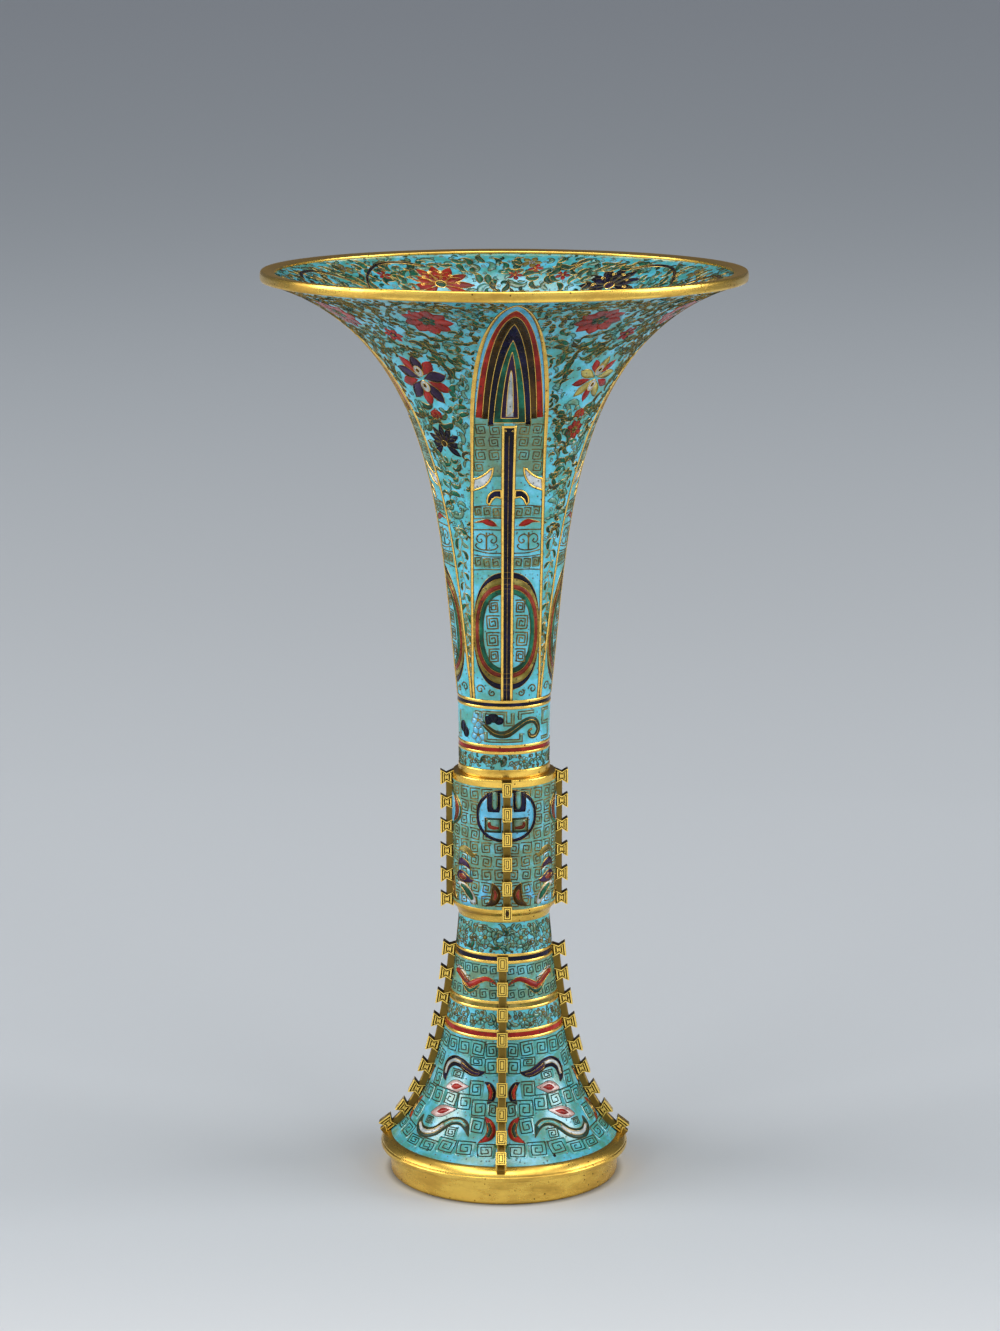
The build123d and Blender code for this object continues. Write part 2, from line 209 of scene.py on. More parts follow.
def enamel(name, tone, shade, gleam, cloud=160.0):
    """A glossy glass enamel in three close tones; deep colours took less polish than pale ones."""
    inputs = {"Tone": screen(*tone), "Shade": screen(*shade), "Gleam": screen(*gleam), "Cloud Scale": cloud}
    made, tree, shader, body = coated(name, ENAMEL_BODY, inputs, *ENAMEL_BUMP)
    shine = GLASS_SHINE if sum(tone) > PALE else DEEP_SHINE
    fill(tree, shader, {"Specular IOR Level": shine})
    return made


print("enamel group has", len(ENAMEL_BODY.nodes), "nodes")

# %% [markdown]
# The mounts are bronze, gilded with gold and mercury over a fire, which leaves a thick warm gold. Handling
# has since browned it in patches and opened small dark pits. The gilding group mixes gold and brown by
# noise and adds the pits. It also darkens the engraved lines with grime and painted shade, and lays painted
# shade on the strip between the teeth and on faces that look up. Two attributes of the mesh, hollow and
# upper, tell it where the engraved lines, the strip and the upper faces are, because only the maker knows
# that; on the turned mounts the faces that look up are found from the direction of the surface.

# %% Gilding node group
# DIRT_AND_SHADE_COLOUR is the colour of the pits, of the grime in engraved lines and of the painted shade.
GILT_PITS, DIRT_AND_SHADE_COLOUR, STREAK = (640.0, 0.1, 0.24, 0.22), screen(34, 21, 8), 3.0
# TOP_SHADE is the share of painted shade on gilding whose faces look up, within the LEVEL range of the upward
# normal.
GILT_BUMP, LEVEL, TOP_SHADE = (0.3, 0.08), (0.86, 0.97), 0.42


def gilding_group():
    """Gold turns to brown where slow noise is high, in fine scratches, and where the Hollow input lays grime
    and painted shade.
    """
    inputs = {"Gold": "colour", "Brown": "colour", "Patch Scale": "value", "Browning": "value",
              "Hollow": "value"}
    tree, given, result = group("gilding_wear", inputs)
    patch = noise(tree, given["Patch Scale"], 5.0, 0.65, STREAK)
    fine = noise(tree, sums(tree, "MULTIPLY", given["Patch Scale"], 14.0), 3.0, 0.7)
    worn = sums(tree, "MULTIPLY", ranged(tree, patch, 0.4, 0.68), given["Browning"])
    worn = sums(tree, "ADD", worn, ranged(tree, fine, 0.55, 0.8, 0.0, 0.25))
    pit = pits(tree, *GILT_PITS)
    # The Hollow input carries grime in the engraved lines and painted shade.
    dark = sums(tree, "MAXIMUM", sums(tree, "MULTIPLY", pit, 0.9), given["Hollow"])
    share = sums(tree, "MAXIMUM", worn, dark, clamp=True)
    tone = mixed(tree, share, given["Gold"], given["Brown"])
    fill(tree, result, {
        "Colour": mixed(tree, sums(tree, "MULTIPLY", dark, 0.85), tone, DIRT_AND_SHADE_COLOUR),
        "Roughness": ranged(tree, share, 0.0, 1.0, 0.24, 0.55),
        "Height": sums(tree, "SUBTRACT", sums(tree, "MULTIPLY", fine, 0.35), pit),
    })
    return tree


GILDING_WEAR = gilding_group()


def gilt(name, gold, brown, patch, browning, engraved=False):
    """Gilded metal with worn patches; engraved lines get grime and painted shade, and the strip between the
    teeth and faces that look up get painted shade.
    """
    inputs = {"Gold": screen(*gold), "Brown": screen(*brown), "Patch Scale": patch, "Browning": browning}
    made, tree, shader, wear = coated(name, GILDING_WEAR, inputs, *GILT_BUMP)
    fill(tree, shader, {"Metallic": 1.0})
    if engraved:
        # Engraved pieces: grime and painted shade in the lines, painted shade on the strip and on the upper
        # faces.
        marks = (node(tree, "ShaderNodeAttribute", attribute_name=mark) for mark in ("hollow", "upper"))
        dirt_and_shade = sums(tree, "MAXIMUM", *(mark.outputs["Fac"] for mark in marks))
    else:
        # Other gilding: painted shade on faces that look up, set by the direction of the surface.
        normal = node(tree, "ShaderNodeNewGeometry").outputs["Normal"]
        upward = node(tree, "ShaderNodeSeparateXYZ", {0: normal}).outputs["Z"]
        dirt_and_shade = ranged(tree, upward, *LEVEL, 0.0, TOP_SHADE)
    fill(tree, wear, {"Hollow": dirt_and_shade})
    return made


print("gilding group has", len(GILDING_WEAR.nodes), "nodes")

# %% [markdown]
# Every finish on the vase has a name, a material and the material slot of the record that it belongs to.
# The palette is the one that such enamels had: two blues, a deep red, green, ochre, purple and a greyish
# white, all on a turquoise ground.

# %% Finishes
ENAMELS = (
    ("turquoise_enamel", "ground", "turquoise_ground", (66, 174, 190), (62, 150, 140), (94, 190, 218), 150.0),
    ("turquoise_enamel", "jade", "jade_ground", (72, 160, 170), (70, 140, 124), (86, 180, 208), 190.0),
    ("turquoise_enamel", "moss", "moss_ground", (80, 144, 124), (82, 118, 86), (90, 172, 182), 240.0),
    ("turquoise_enamel", "sky", "sky_enamel", (82, 172, 210), (66, 158, 188), (106, 190, 222)),
    ("turquoise_enamel", "sea", "sea_green_enamel", (78, 136, 112), (82, 112, 78), (84, 158, 156)),
    ("turquoise_enamel", "teal", "teal_enamel", (70, 158, 154), (66, 138, 120), (78, 176, 192), 300.0),
    ("turquoise_enamel", "green", "leaf_green_enamel", (20, 84, 62), (18, 54, 40), (36, 116, 92)),
    ("turquoise_enamel", "fret", "fret_green_enamel", (26, 62, 52), (56, 50, 26), (22, 54, 48), 300.0),
    ("navy_enamel", "navy", "navy_enamel", (15, 13, 34), (10, 9, 22), (24, 22, 54)),
    ("navy_enamel", "purple", "purple_enamel", (46, 26, 54), (32, 18, 38), (62, 40, 74)),
    ("red_enamel", "red", "red_enamel", (146, 34, 26), (112, 26, 20), (168, 48, 36)),
    ("red_enamel", "brick", "brick_enamel", (118, 42, 30), (88, 34, 22), (142, 58, 44)),
    ("ochre_enamel", "ochre", "brown_enamel", (52, 35, 11), (32, 22, 8), (80, 56, 18)),
    ("ochre_enamel", "olive", "olive_enamel", (126, 114, 50), (96, 84, 36), (164, 150, 84)),
    ("gilt_bronze", "khaki", "khaki_line", (92, 80, 38), (62, 54, 28), (128, 112, 56), 300.0),
    ("ochre_enamel", "yellow", "yellow_enamel", (172, 160, 66), (136, 120, 44), (204, 192, 104)),
    ("turquoise_enamel", "white", "white_enamel", (172, 182, 184), (138, 150, 152), (204, 210, 212)),
    ("red_enamel", "blush", "blush_enamel", (186, 156, 148), (160, 120, 110), (200, 184, 178)),
)
GILDINGS = (
    ("gilt_bronze", "gilt", "bright_gilding", (255, 211, 99), (140, 90, 30), 60.0, 0.52),
    ("gilt_bronze", "engraved", "engraved_gilding", (255, 216, 104), (104, 72, 28), 240.0, 0.08, True),
    ("gilt_bronze", "outline", "outline_wire", (255, 210, 104), (160, 110, 42), 200.0, 0.35),
    ("gilt_bronze", "wire", "thin_wire", (188, 150, 70), (76, 66, 32), 420.0, 0.8),
    ("copper", "copper", "aged_copper", (142, 84, 52), (58, 38, 28), 70.0, 0.8),
)
FINISH = {finish: (make(*coat), slot) for make, table in ((enamel, ENAMELS), (gilt, GILDINGS))
          for slot, finish, *coat in table}
print(len(FINISH), "finishes")

# %% [markdown]
# Everything that is added is made from grids of points: rows and columns that numpy works out in one step,
# with a face between each four neighbours. A finished piece rides on the one body of the vase and can stand
# for a node of the model that is coarser.

# %% Surfaces from grids
def line_of(x, y):
    """Points with two coordinates, from arrays of the one and the other."""
    return np.stack([x, y], axis=-1)


def grid_quads(rows, columns, close_rows=False, close_columns=False):
    """Corner numbers of a grid's faces; a closed direction joins its end to its start."""
    number = np.arange(rows * columns).reshape(rows, columns)
    if close_rows:
        number = np.vstack([number, number[:1]])
    if close_columns:
        number = np.hstack([number, number[:, :1]])
    corners = [number[:-1, :-1], number[:-1, 1:], number[1:, 1:], number[1:, :-1]]
    return np.stack(corners, axis=-1).reshape(-1, 4)


def surface(name, points, quads, coat, smooth=True):
    """A mesh object at the origin, from points in metres and four-cornered faces."""
    mesh = bpy.data.meshes.new(name)
    mesh.vertices.add(len(points))
    mesh.vertices.foreach_set("co", np.ascontiguousarray(points, dtype=np.float32).ravel())
    mesh.loops.add(quads.size)
    mesh.loops.foreach_set("vertex_index", np.ascontiguousarray(quads, dtype=np.int32).ravel())
    mesh.polygons.add(len(quads))
    mesh.polygons.foreach_set("loop_start", np.arange(0, quads.size, 4, dtype=np.int32))
    mesh.polygons.foreach_set("use_smooth", np.full(len(quads), smooth))
    mesh.update(calc_edges=True)
    mesh.validate()
    mesh.materials.append(coat)
    made = bpy.data.objects.new(name, mesh)
    scene.collection.objects.link(made)
    return made


def piece(name, points, quads, finish, *nodes, smooth=True):
    """A finished piece of the vase, on its body, standing for the nodes that it replaces."""
    coat, slot = FINISH[finish]
    made = surface(name, points, quads, coat, smooth)
    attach(made, "root")
    if nodes:
        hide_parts(*nodes)
    return made


print("surface helpers ready")

# %% [markdown]
# The room is a pale floor that runs far away, with painted light and shade in its tone: a little darker
# within a metre of the vase and greyer with distance. A white card lies in front of the vase, just below the
# picture, and upright gold is seen to reflect it. A painted shadow rings the foot, and a painted pool of
# shade lies below each side softbox. Two large softboxes at the sides light the vase, edge its rim and leave
# soft gleams on the foot. Two small ones in front only light it and are kept out of reflections, and one
# overhead only shows in them, on the sloping moulding. The sky is dark behind, so that gold that faces up
# looks dark. The floor is one disc of rings and spokes.

# %% Floor, sky and softboxes
# FLOOR_NEAR, FLOOR_MIDDLE and FLOOR_FAR are painted light and shade with distance; FLOOR_CONTACT_SHADOW is a
# painted shadow round the foot and FLOOR_SHADE_POOL painted shade below the side softboxes.
FLOOR_CARD, FLOOR_CONTACT_SHADOW, FLOOR_NEAR = screen(236, 236, 236), screen(104, 102, 98), screen(194, 198, 202)
FLOOR_MIDDLE, FLOOR_FAR, FLOOR_SHADE_POOL = screen(204, 209, 214), screen(189, 193, 200), screen(124, 126, 130)
FLOOR_REACH, FLOOR_RINGS, FLOOR_SPOKES, MIDDLE = 60.0, 40, 96, (0, 0, 0.15)
# CONTACT_SHADOW_REACH spans the painted shadow round the foot.
CONTACT_SHADOW_REACH, CARD, SHADE_POOL_ASIDE, SHADE_POOL_DEEP = (0.0362, 0.0392), (-0.35, -0.02), (0.6, 1.6), (0.9, 2.6)
SKY_FRONT, SKY_BACK, BEYOND = screen(203, 207, 211), screen(84, 86, 90), screen(106, 110, 116)


def floor_material():
    """Painted light and shade: a little darker within a metre of the vase, greyer with distance on a
    logarithmic scale, a painted shadow where the foot touches it and a painted pool of shade below the lamps
    at each side; and a white card in front."""
    made, tree, shader = material("studio_floor")
    place = own_place(tree)
    axes = node(tree, "ShaderNodeSeparateXYZ", {0: place}).outputs
    aside, deep = (sums(tree, "ABSOLUTE", axes[axis]) for axis in "XY")
    distance = node(tree, "ShaderNodeVectorMath", {0: place}, operation="LENGTH").outputs["Value"]
    depth = sums(tree, "LOGARITHM", distance, 10.0)
    grain = ranged(tree, noise(tree, 900.0), 0.2, 0.8, -0.01, 0.01)
    # Painted shade: the floor greys towards the far tone with distance.
    far = sums(tree, "ADD", ranged(tree, depth, 0.3, 1.5), grain)
    card = ranged(tree, axes["Y"], *CARD, 1.0, 0.0)
    # Painted shade below the side softboxes, to hold down their light on the floor.
    pool = sums(tree, "MULTIPLY", ranged(tree, aside, *SHADE_POOL_ASIDE), ranged(tree, deep, *SHADE_POOL_DEEP, 1.0, 0.0))
    # Painted shade: darker within a metre of the vase, lighter beyond.
    tone = mixed(tree, ranged(tree, depth, -0.05, 0.5), FLOOR_NEAR, FLOOR_MIDDLE)
    # Painted contact shadow round the foot.
    tone = mixed(tree, ranged(tree, distance, *CONTACT_SHADOW_REACH, 0.75, 0.0), tone, FLOOR_CONTACT_SHADOW)
    tone = mixed(tree, pool, mixed(tree, card, tone, FLOOR_CARD), FLOOR_SHADE_POOL)
    fill(tree, shader, {"Base Color": mixed(tree, far, tone, FLOOR_FAR), "Roughness": 0.75})
    return made


def softbox(name, place, wide, tall, power, lights=True, shows=True):
    """A flat lamp that faces the vase; it lights things, or shows in reflections, or both."""
    lamp = bpy.data.lights.new(name, "AREA")
    lamp.energy = power
    lamp.shape = "RECTANGLE"
    lamp.size, lamp.size_y = wide, tall
    made = bpy.data.objects.new(name, lamp)
    made.location = place
    direction = np.array(MIDDLE) - np.array(place)
    flat = math.hypot(direction[0], direction[1])
    made.rotation_euler = (math.atan2(flat, -direction[2]), 0, math.atan2(-direction[0], direction[1]))
    made.visible_diffuse, made.visible_glossy = lights, shows
    scene.collection.objects.link(made)
    return made


rings = np.concatenate([[0.0], np.geomspace(0.02, FLOOR_REACH, FLOOR_RINGS)])[:, None]
spokes = np.linspace(0, 2 * np.pi, FLOOR_SPOKES, endpoint=False)
floor_points = np.stack([rings * np.cos(spokes), rings * np.sin(spokes), 0 * rings * spokes], axis=-1)
floor_quads = grid_quads(len(rings), FLOOR_SPOKES, close_columns=True)
floor = surface("studio_floor", floor_points.reshape(-1, 3), floor_quads, floor_material())

softbox("side_softbox_left", (-2.35, -0.25, 1.1), 1.7, 1.5, 46.0)
softbox("side_softbox_right", (2.35, -0.25, 1.1), 1.7, 1.5, 42.0)
softbox("front_softbox_left", (-0.85, -0.95, 1.0), 0.6, 0.6, 3.4, shows=False)
softbox("front_softbox_right", (0.85, -0.95, 1.0), 0.6, 0.6, 3.0, shows=False)
softbox("top_softbox", (0.0, -0.1, 1.5), 1.4, 1.4, 18.0, lights=False)

world = bpy.data.worlds.new("soft_sky")
scene.world = world
world.use_nodes = True
tree, sky = world.node_tree, world.node_tree.nodes["Background"]
towards = node(tree, "ShaderNodeSeparateXYZ", {0: node(tree, "ShaderNodeTexCoord").outputs["Generated"]})
back = ranged(tree, towards.outputs["Y"], -0.6, 0.6)
seen = node(tree, "ShaderNodeLightPath").outputs["Is Camera Ray"]
shown = mixed(tree, seen, mixed(tree, back, SKY_FRONT, SKY_BACK), BEYOND)
fill(tree, sky, {"Color": shown, "Strength": 1.1})
print("floor reaches", FLOOR_REACH, "m")

# %% [markdown]
# Both walls of the vase are one smooth curve each: a cubic curve in radius and height. The same curves are
# repeated here from the construction, because everything drawn on the walls has to follow them. A wall
# measures lengths along itself, so a motif keeps its size where the wall flares, and it can place a
# point at any angle, any length up the wall, and any lift above the surface. The neck and the knop are
# straight, and are written the same way.

# %% Walls
FOOT_CURVE = ((36.4, 12.6), (19.847, 25.029), (16.747, 58.711), (14.3, 85.6))
TRUMPET_CURVE = ((14.66, 157.25), (20.169, 207.147), (18.982, 269.474), (73.6, 286.8))
NECK_LINE = ((14.2, 135.0), (14.353, 142.417), (14.507, 149.833), (14.66, 157.25))
KNOP_LINE = ((16.4, 90.3), (16.4, 103.433), (16.4, 116.567), (16.4, 129.7))
ENAMEL, COPPER, LINING, FILLET_PROUD = 0.8, 1.2, 0.7, 0.12
LINED = ENAMEL + COPPER + LINING


def left_of(step):
    """Unit normal on the left of a step in radius and height."""
    return np.array([-step[1], step[0]]) / math.hypot(*step)


def inset(curve, depth):
    """The curve moved inwards: each end and its pull shift along that end's normal."""
    start, pull, draw, end = np.array(curve, dtype=float)
    shift, last = left_of(pull - start) * depth, left_of(end - draw) * depth
    return np.array([start + shift, pull + shift, draw + last, end + last])


def bezier(curve, t):
    """Points of a cubic curve: its four points weighted by (1-t)^3, 3t(1-t)^2, 3t^2(1-t) and t^3."""
    t = np.asarray(t)[:, None]
    a, b, c, d = np.asarray(curve, dtype=float)
    return (1 - t) ** 3 * a + 3 * t * (1 - t) ** 2 * b + 3 * t * t * (1 - t) * c + t ** 3 * d


class Wall:
    """A turned wall, measured along its curve in millimetres; facing is 1 outside and -1 inside."""

    def __init__(self, curve, facing=1):
        points = bezier(curve, np.linspace(0, 1, 2001))
        self.r, self.z = points.T
        step = np.gradient(points, axis=0)
        self.along = step / np.hypot(*step.T)[:, None]
        self.out = facing * line_of(self.along[:, 1], -self.along[:, 0])
        self.s = np.concatenate([[0], np.cumsum(np.hypot(*np.diff(points, axis=0).T))])
        self.length = self.s[-1]

    def at_height(self, z):
        """Length along the wall at a height."""
        return np.interp(z, self.z, self.s)

    def radius(self, s):
        """Radius at a length along the wall."""
        return np.interp(s, self.s, self.r)

    def section(self, s, lift=0.0):
        """Radius and height at a length and a lift; past its ends the wall goes on straight."""
        past = s - np.clip(s, 0, self.length)
        columns = (self.r, self.z, *self.along.T, *self.out.T)
        r, z, along_r, along_z, out_r, out_z = (np.interp(s, self.s, column) for column in columns)
        return r + past * along_r + lift * out_r, z + past * along_z + lift * out_z

    def place(self, angle, s, lift=0.0):
        """Points in metres; angles run from the front towards the right, in radians."""
        r, z = self.section(s, lift)
        return np.stack([r * np.sin(angle), -r * np.cos(angle), z], axis=-1) * MM


FOOT, TRUMPET, NECK, KNOP = (Wall(curve) for curve in (FOOT_CURVE, TRUMPET_CURVE, NECK_LINE, KNOP_LINE))
MOUTH = Wall(inset(TRUMPET_CURVE, LINED), facing=-1)
print("wall lengths", [round(wall.length, 1) for wall in (FOOT, KNOP, NECK, TRUMPET, MOUTH)])

# %% [markdown]
# The mounts were turned on a lathe after casting, so each is a section spun round the axis. A section is a
# closed line of corners; real corners are slightly rounded, and that rounding is what catches the light,
# so each corner is replaced by a small curve before the section is spun.

# %% Lathe
SPIN = 192


def softened(corners, ease, steps):
    """Each corner of a closed section becomes a short curve that starts and ends at most ease away."""
    corner = np.array(corners, dtype=float)
    back, ahead = np.roll(corner, 1, axis=0) - corner, np.roll(corner, -1, axis=0) - corner
    reach = np.broadcast_to(np.asarray(ease, dtype=float), len(corner))
    size = [np.hypot(*side.T) for side in (back, ahead)]
    start = corner + back * np.minimum(reach / size[0], 0.45)[:, None]
    end = corner + ahead * np.minimum(reach / size[1], 0.45)[:, None]
    t = np.linspace(0, 1, steps)[None, :, None]
    curve = (1 - t) ** 2 * start[:, None] + 2 * t * (1 - t) * corner[:, None] + t ** 2 * end[:, None]
    return curve.reshape(-1, 2)


def spun(section):
    """Points and faces of a closed section (radius, height) spun round the axis; faces point outwards."""
    r, z = np.array(section).T
    area = np.sum(r * np.roll(z, -1) - z * np.roll(r, -1))
    r, z = (r, z) if area > 0 else (r[::-1], z[::-1])
    angle = np.linspace(0, 2 * np.pi, SPIN, endpoint=False)
    points = np.stack([r[:, None] * np.sin(angle), -r[:, None] * np.cos(angle),
                       np.repeat(z[:, None], SPIN, axis=1)], axis=-1)
    return points.reshape(-1, 3) * MM, grid_quads(len(r), SPIN, True, True)


def joined(parts):
    """Several meshes as one: corner numbers move on by the points before them."""
    starts = np.cumsum([0] + [len(points) for points, quads in parts[:-1]])
    return (np.concatenate([points for points, quads in parts]),
            np.concatenate([quads + start for (points, quads), start in zip(parts, starts)]))


def turned_piece(name, finish, *sections):
    """A turned piece of one or more rings that replaces a node."""
    return piece(name + "_turned", *joined([spun(section) for section in sections]), finish, name)


print("lathe turns in", SPIN, "steps")

# %% [markdown]
# Six mounts hold the vase together: the rim, the ring it stands on, the sloping moulding above that, and the
# ring, shoulder and collar of the knop. Each corner of a section has a radius, a height and a rounding.

# %% Gilt mounts
RIM_R, RIM_IN, RIM_CROWN, RIM_TOP, RIM_DROP = 75.1, 70.6, 73.5, 290.0, 0.5
BASE_R, BASE_IN, BASE_TOP = 36.5, 33.1, 8.4
MOULDING_R, MOULDING_IN, MOULDING_EDGE, MOULDING_BULGE = 39.7, 32.6, 10.0, 1.8
KNOP_R, RING_R, RING_IN, COLLAR_R, COLLAR_IN = 16.4, 14.5, 13.55, 14.5, 13.45
KNOP_RING_LOW, KNOP_LOW, SHOULDER_LOW, COLLAR_LOW, NECK_LOW = 85.6, 90.3, 129.7, 132.2, 135.0
STEP_IN, STEP_OUT, STEP_Z, STEP_TOP = 15.1, 15.45, 87.95, 89.125


def mount(name, steps, *corners, start=()):
    """A gilt mount from the corners of its section: radius, height and rounding of each."""
    r, z, ease = np.array(corners, dtype=float).T
    turned_piece(name, "gilt", np.array([*start, *softened(line_of(r, z), ease, steps)]))


lip, lip_inside = TRUMPET_CURVE[3], inset(TRUMPET_CURVE, LINED)[3]
rim_inside = np.interp(RIM_IN, MOUTH.r, MOUTH.z)
mount("mouth_rim", 7, (*lip, 0.1), (RIM_R, lip[1], 1.0), (RIM_R, RIM_TOP, 1.4), (RIM_CROWN, RIM_TOP, 0.7),
      (RIM_IN, RIM_TOP - RIM_DROP, 0.4), (RIM_IN, rim_inside, 0.1), (*lip_inside, 0.1))
mount("base_ring", 6, (BASE_IN, 0, 0.3), (BASE_R, 0, 0.9), (BASE_R, BASE_TOP, 0.2), (BASE_IN, BASE_TOP, 0.2))

slope = np.array([FOOT_CURVE[0], (MOULDING_R, MOULDING_EDGE)])
run, bulge = slope[1] - slope[0], np.linspace(0, 1, 13)[:, None]
crown = slope[0] + run * bulge + left_of(run) * MOULDING_BULGE * bulge * (1 - bulge)
foot_inside = inset(FOOT_CURVE, ENAMEL + COPPER)[0]
mount("foot_moulding", 5, (*slope[1], 0.5), (MOULDING_R, BASE_TOP, 0.5), (MOULDING_IN, BASE_TOP, 0.2),
      (MOULDING_IN, foot_inside[1], 0.2), (*foot_inside, 0.1), start=crown[:-1])
mount("knop_ring", 5, (RING_IN, KNOP_RING_LOW, 0.1), (RING_R, KNOP_RING_LOW, 0.3), (STEP_IN, STEP_Z, 0.15),
      (STEP_OUT, STEP_Z, 0.2), (KNOP_R, STEP_TOP, 0.35), (KNOP_R, KNOP_LOW, 0.15), (RING_IN, KNOP_LOW, 0.1))
mount("knop_shoulder", 6, (COLLAR_IN, SHOULDER_LOW, 0.1), (KNOP_R, SHOULDER_LOW, 0.15),
      (KNOP_R, COLLAR_LOW, 0.6), (COLLAR_IN, COLLAR_LOW, 0.1))
mount("neck_collar", 6, (COLLAR_IN, COLLAR_LOW, 0.1), (COLLAR_R, COLLAR_LOW, 0.2),
      (COLLAR_R, NECK_LOW, 0.7), (COLLAR_IN, NECK_LOW, 0.1))
print("six gilt mounts turned")

# %% [markdown]
# The enamel skins are turned too, with the copper left behind them. Each band of the neck and foot is a
# ring of its own, cut from the wall by two heights, and narrow gilt fillets stand a hair proud of the
# enamel between the bands.

# %% Enamel walls and fillets
FILLET, FILLET_EASE, LINING_LOW, EDGE = 0.95, 0.15, 226.8, 0.06
SKIN_STEPS, LINING_STEPS, BAND_STEPS, TALL_STEPS, TALL_BAND = 90, 60, 14, 40, 20.0


def ring(wall, low, high, depth=ENAMEL, proud=0.0, steps=12, ease=0.0):
    """A closed section of a wall between two heights: up the face, then down at a depth behind it. A narrow
    row at each end keeps the smooth shading of the face away from its corners."""
    first, last = wall.at_height(low), wall.at_height(high)
    s = np.concatenate([[first], np.linspace(first + EDGE, last - EDGE, steps), [last]])
    face = line_of(*wall.section(s, proud))
    back = line_of(*wall.section(s[::-1][::max(1, steps // 12)], -depth))
    if ease:
        s = np.array([s[0], s[0] + ease, s[-1] - ease, s[-1]])
        face = line_of(*wall.section(s, np.array([0.0, proud, proud, 0.0])))
    return np.concatenate([face, back])


FOOT_BANDS = {
    "foot_mask_enamel": (12.6, 48.4), "foot_red_enamel": (49.35, 50.7), "foot_lotus_enamel": (51.65, 57.6),
    "foot_ochre_enamel": (58.55, 59.65), "foot_small_mask_enamel": (60.6, 72.4),
    "foot_blue_enamel": (73.35, 74.7), "stem_lotus_enamel": (75.65, 85.6),
}
NECK_BANDS = {
    "neck_lotus_enamel": (135.0, 139.85), "neck_red_enamel": (140.8, 142.0),
    "neck_scroll_enamel": (142.95, 154.35), "neck_blue_enamel": (155.3, 156.3),
}
BAND_FINISH = {"red": "red", "ochre": "olive", "blue": "navy"}
GREENISH = {"foot_mask_enamel": "jade", "foot_small_mask_enamel": "moss"}
for wall, bands in ((FOOT, FOOT_BANDS), (NECK, NECK_BANDS)):
    for name, (low, high) in bands.items():
        colour = name.split("_")[1]
        coat = BAND_FINISH.get(colour, GREENISH.get(name, "ground"))
        steps = TALL_STEPS if high - low > TALL_BAND else BAND_STEPS
        turned_piece(name, coat, ring(wall, low, high, steps=steps))
        if colour in BAND_FINISH:
            pair = [ring(wall, *ends, proud=FILLET_PROUD, ease=FILLET_EASE)
                    for ends in ((low - FILLET, low), (high, high + FILLET))]
            turned_piece(name.replace("enamel", "fillets"), "outline", *pair)
turned_piece("knop_enamel", "moss", ring(KNOP, KNOP_LOW, SHOULDER_LOW))
turned_piece("trumpet_enamel", "ground", ring(TRUMPET, TRUMPET_CURVE[0][1], lip[1], steps=SKIN_STEPS))
turned_piece("mouth_lining", "ground", ring(MOUTH, LINING_LOW, MOUTH.z[-1], LINING, steps=LINING_STEPS))
turned_piece("mouth_lining_fillet", "outline",
             ring(MOUTH, LINING_LOW - FILLET, LINING_LOW, LINING, FILLET_PROUD, ease=FILLET_EASE))
print(len(FOOT_BANDS) + len(NECK_BANDS), "enamel bands turned")

# %% [markdown]
# The copper walls, the floor inside the knop and the pins that hold the flanges are right as the model has
# them, so they stay and only take a finish: bare copper, darkened with age.

# %% Copper
COPPER_NODES = ("foot_wall", "knop_wall", "trumpet_wall", "knop_floor", "foot_flange_pins",
                "knop_flange_pins")
for name in COPPER_NODES:
    for material_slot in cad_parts[name].material_slots:
        material_slot.material = FINISH["copper"][0]
print("copper pieces finished")

# %% [markdown]
# Eight notched flanges stand out from the knop and the foot, the most skilled castings on the vase. A
# flange is a narrow strip with teeth, each waisted like a bow tie, chased with nested lines on both sides
# and on its tip. The lines could be drawn as bump, but they show in the outline of the light, so they are
# modelled: an outline is drawn in towards its middle in steps, and some of the steps are sunk.

# %% Flange tooth
TOOTH_HALF, WAIST_HALF, TOOTH_SINK, TIP_BEVEL = 2.35, 1.3, 0.35, 0.16
# STRIP_SHADE and UPPER_SHADE are shares of painted shade: on the strip between the teeth and on the faces of
# a tooth that look up.
LINE_DEEP, STRIP_SHADE, UPPER_SHADE, PINCH = -0.22, 0.63, 0.9, 2.0
KNOP_TOOTH, FOOT_TOOTH = (3.8, 3.0), (4.2, 3.4)
SIDE_STEPS = ((1, 0), (0.87, 0), (0.86, LINE_DEEP), (0.68, LINE_DEEP), (0.67, 0), (0.5, 0),
              (0.49, LINE_DEEP), (0.3, LINE_DEEP), (0.29, 0), (0.06, 0))
TIP_STEPS = ((0, -TIP_BEVEL), (0.1, 0), (0.42, 0), (0.43, LINE_DEEP), (0.65, LINE_DEEP), (0.66, 0),
             (1.02, 0), (1.03, LINE_DEEP), (1.25, LINE_DEEP), (1.26, 0), (1.46, 0))


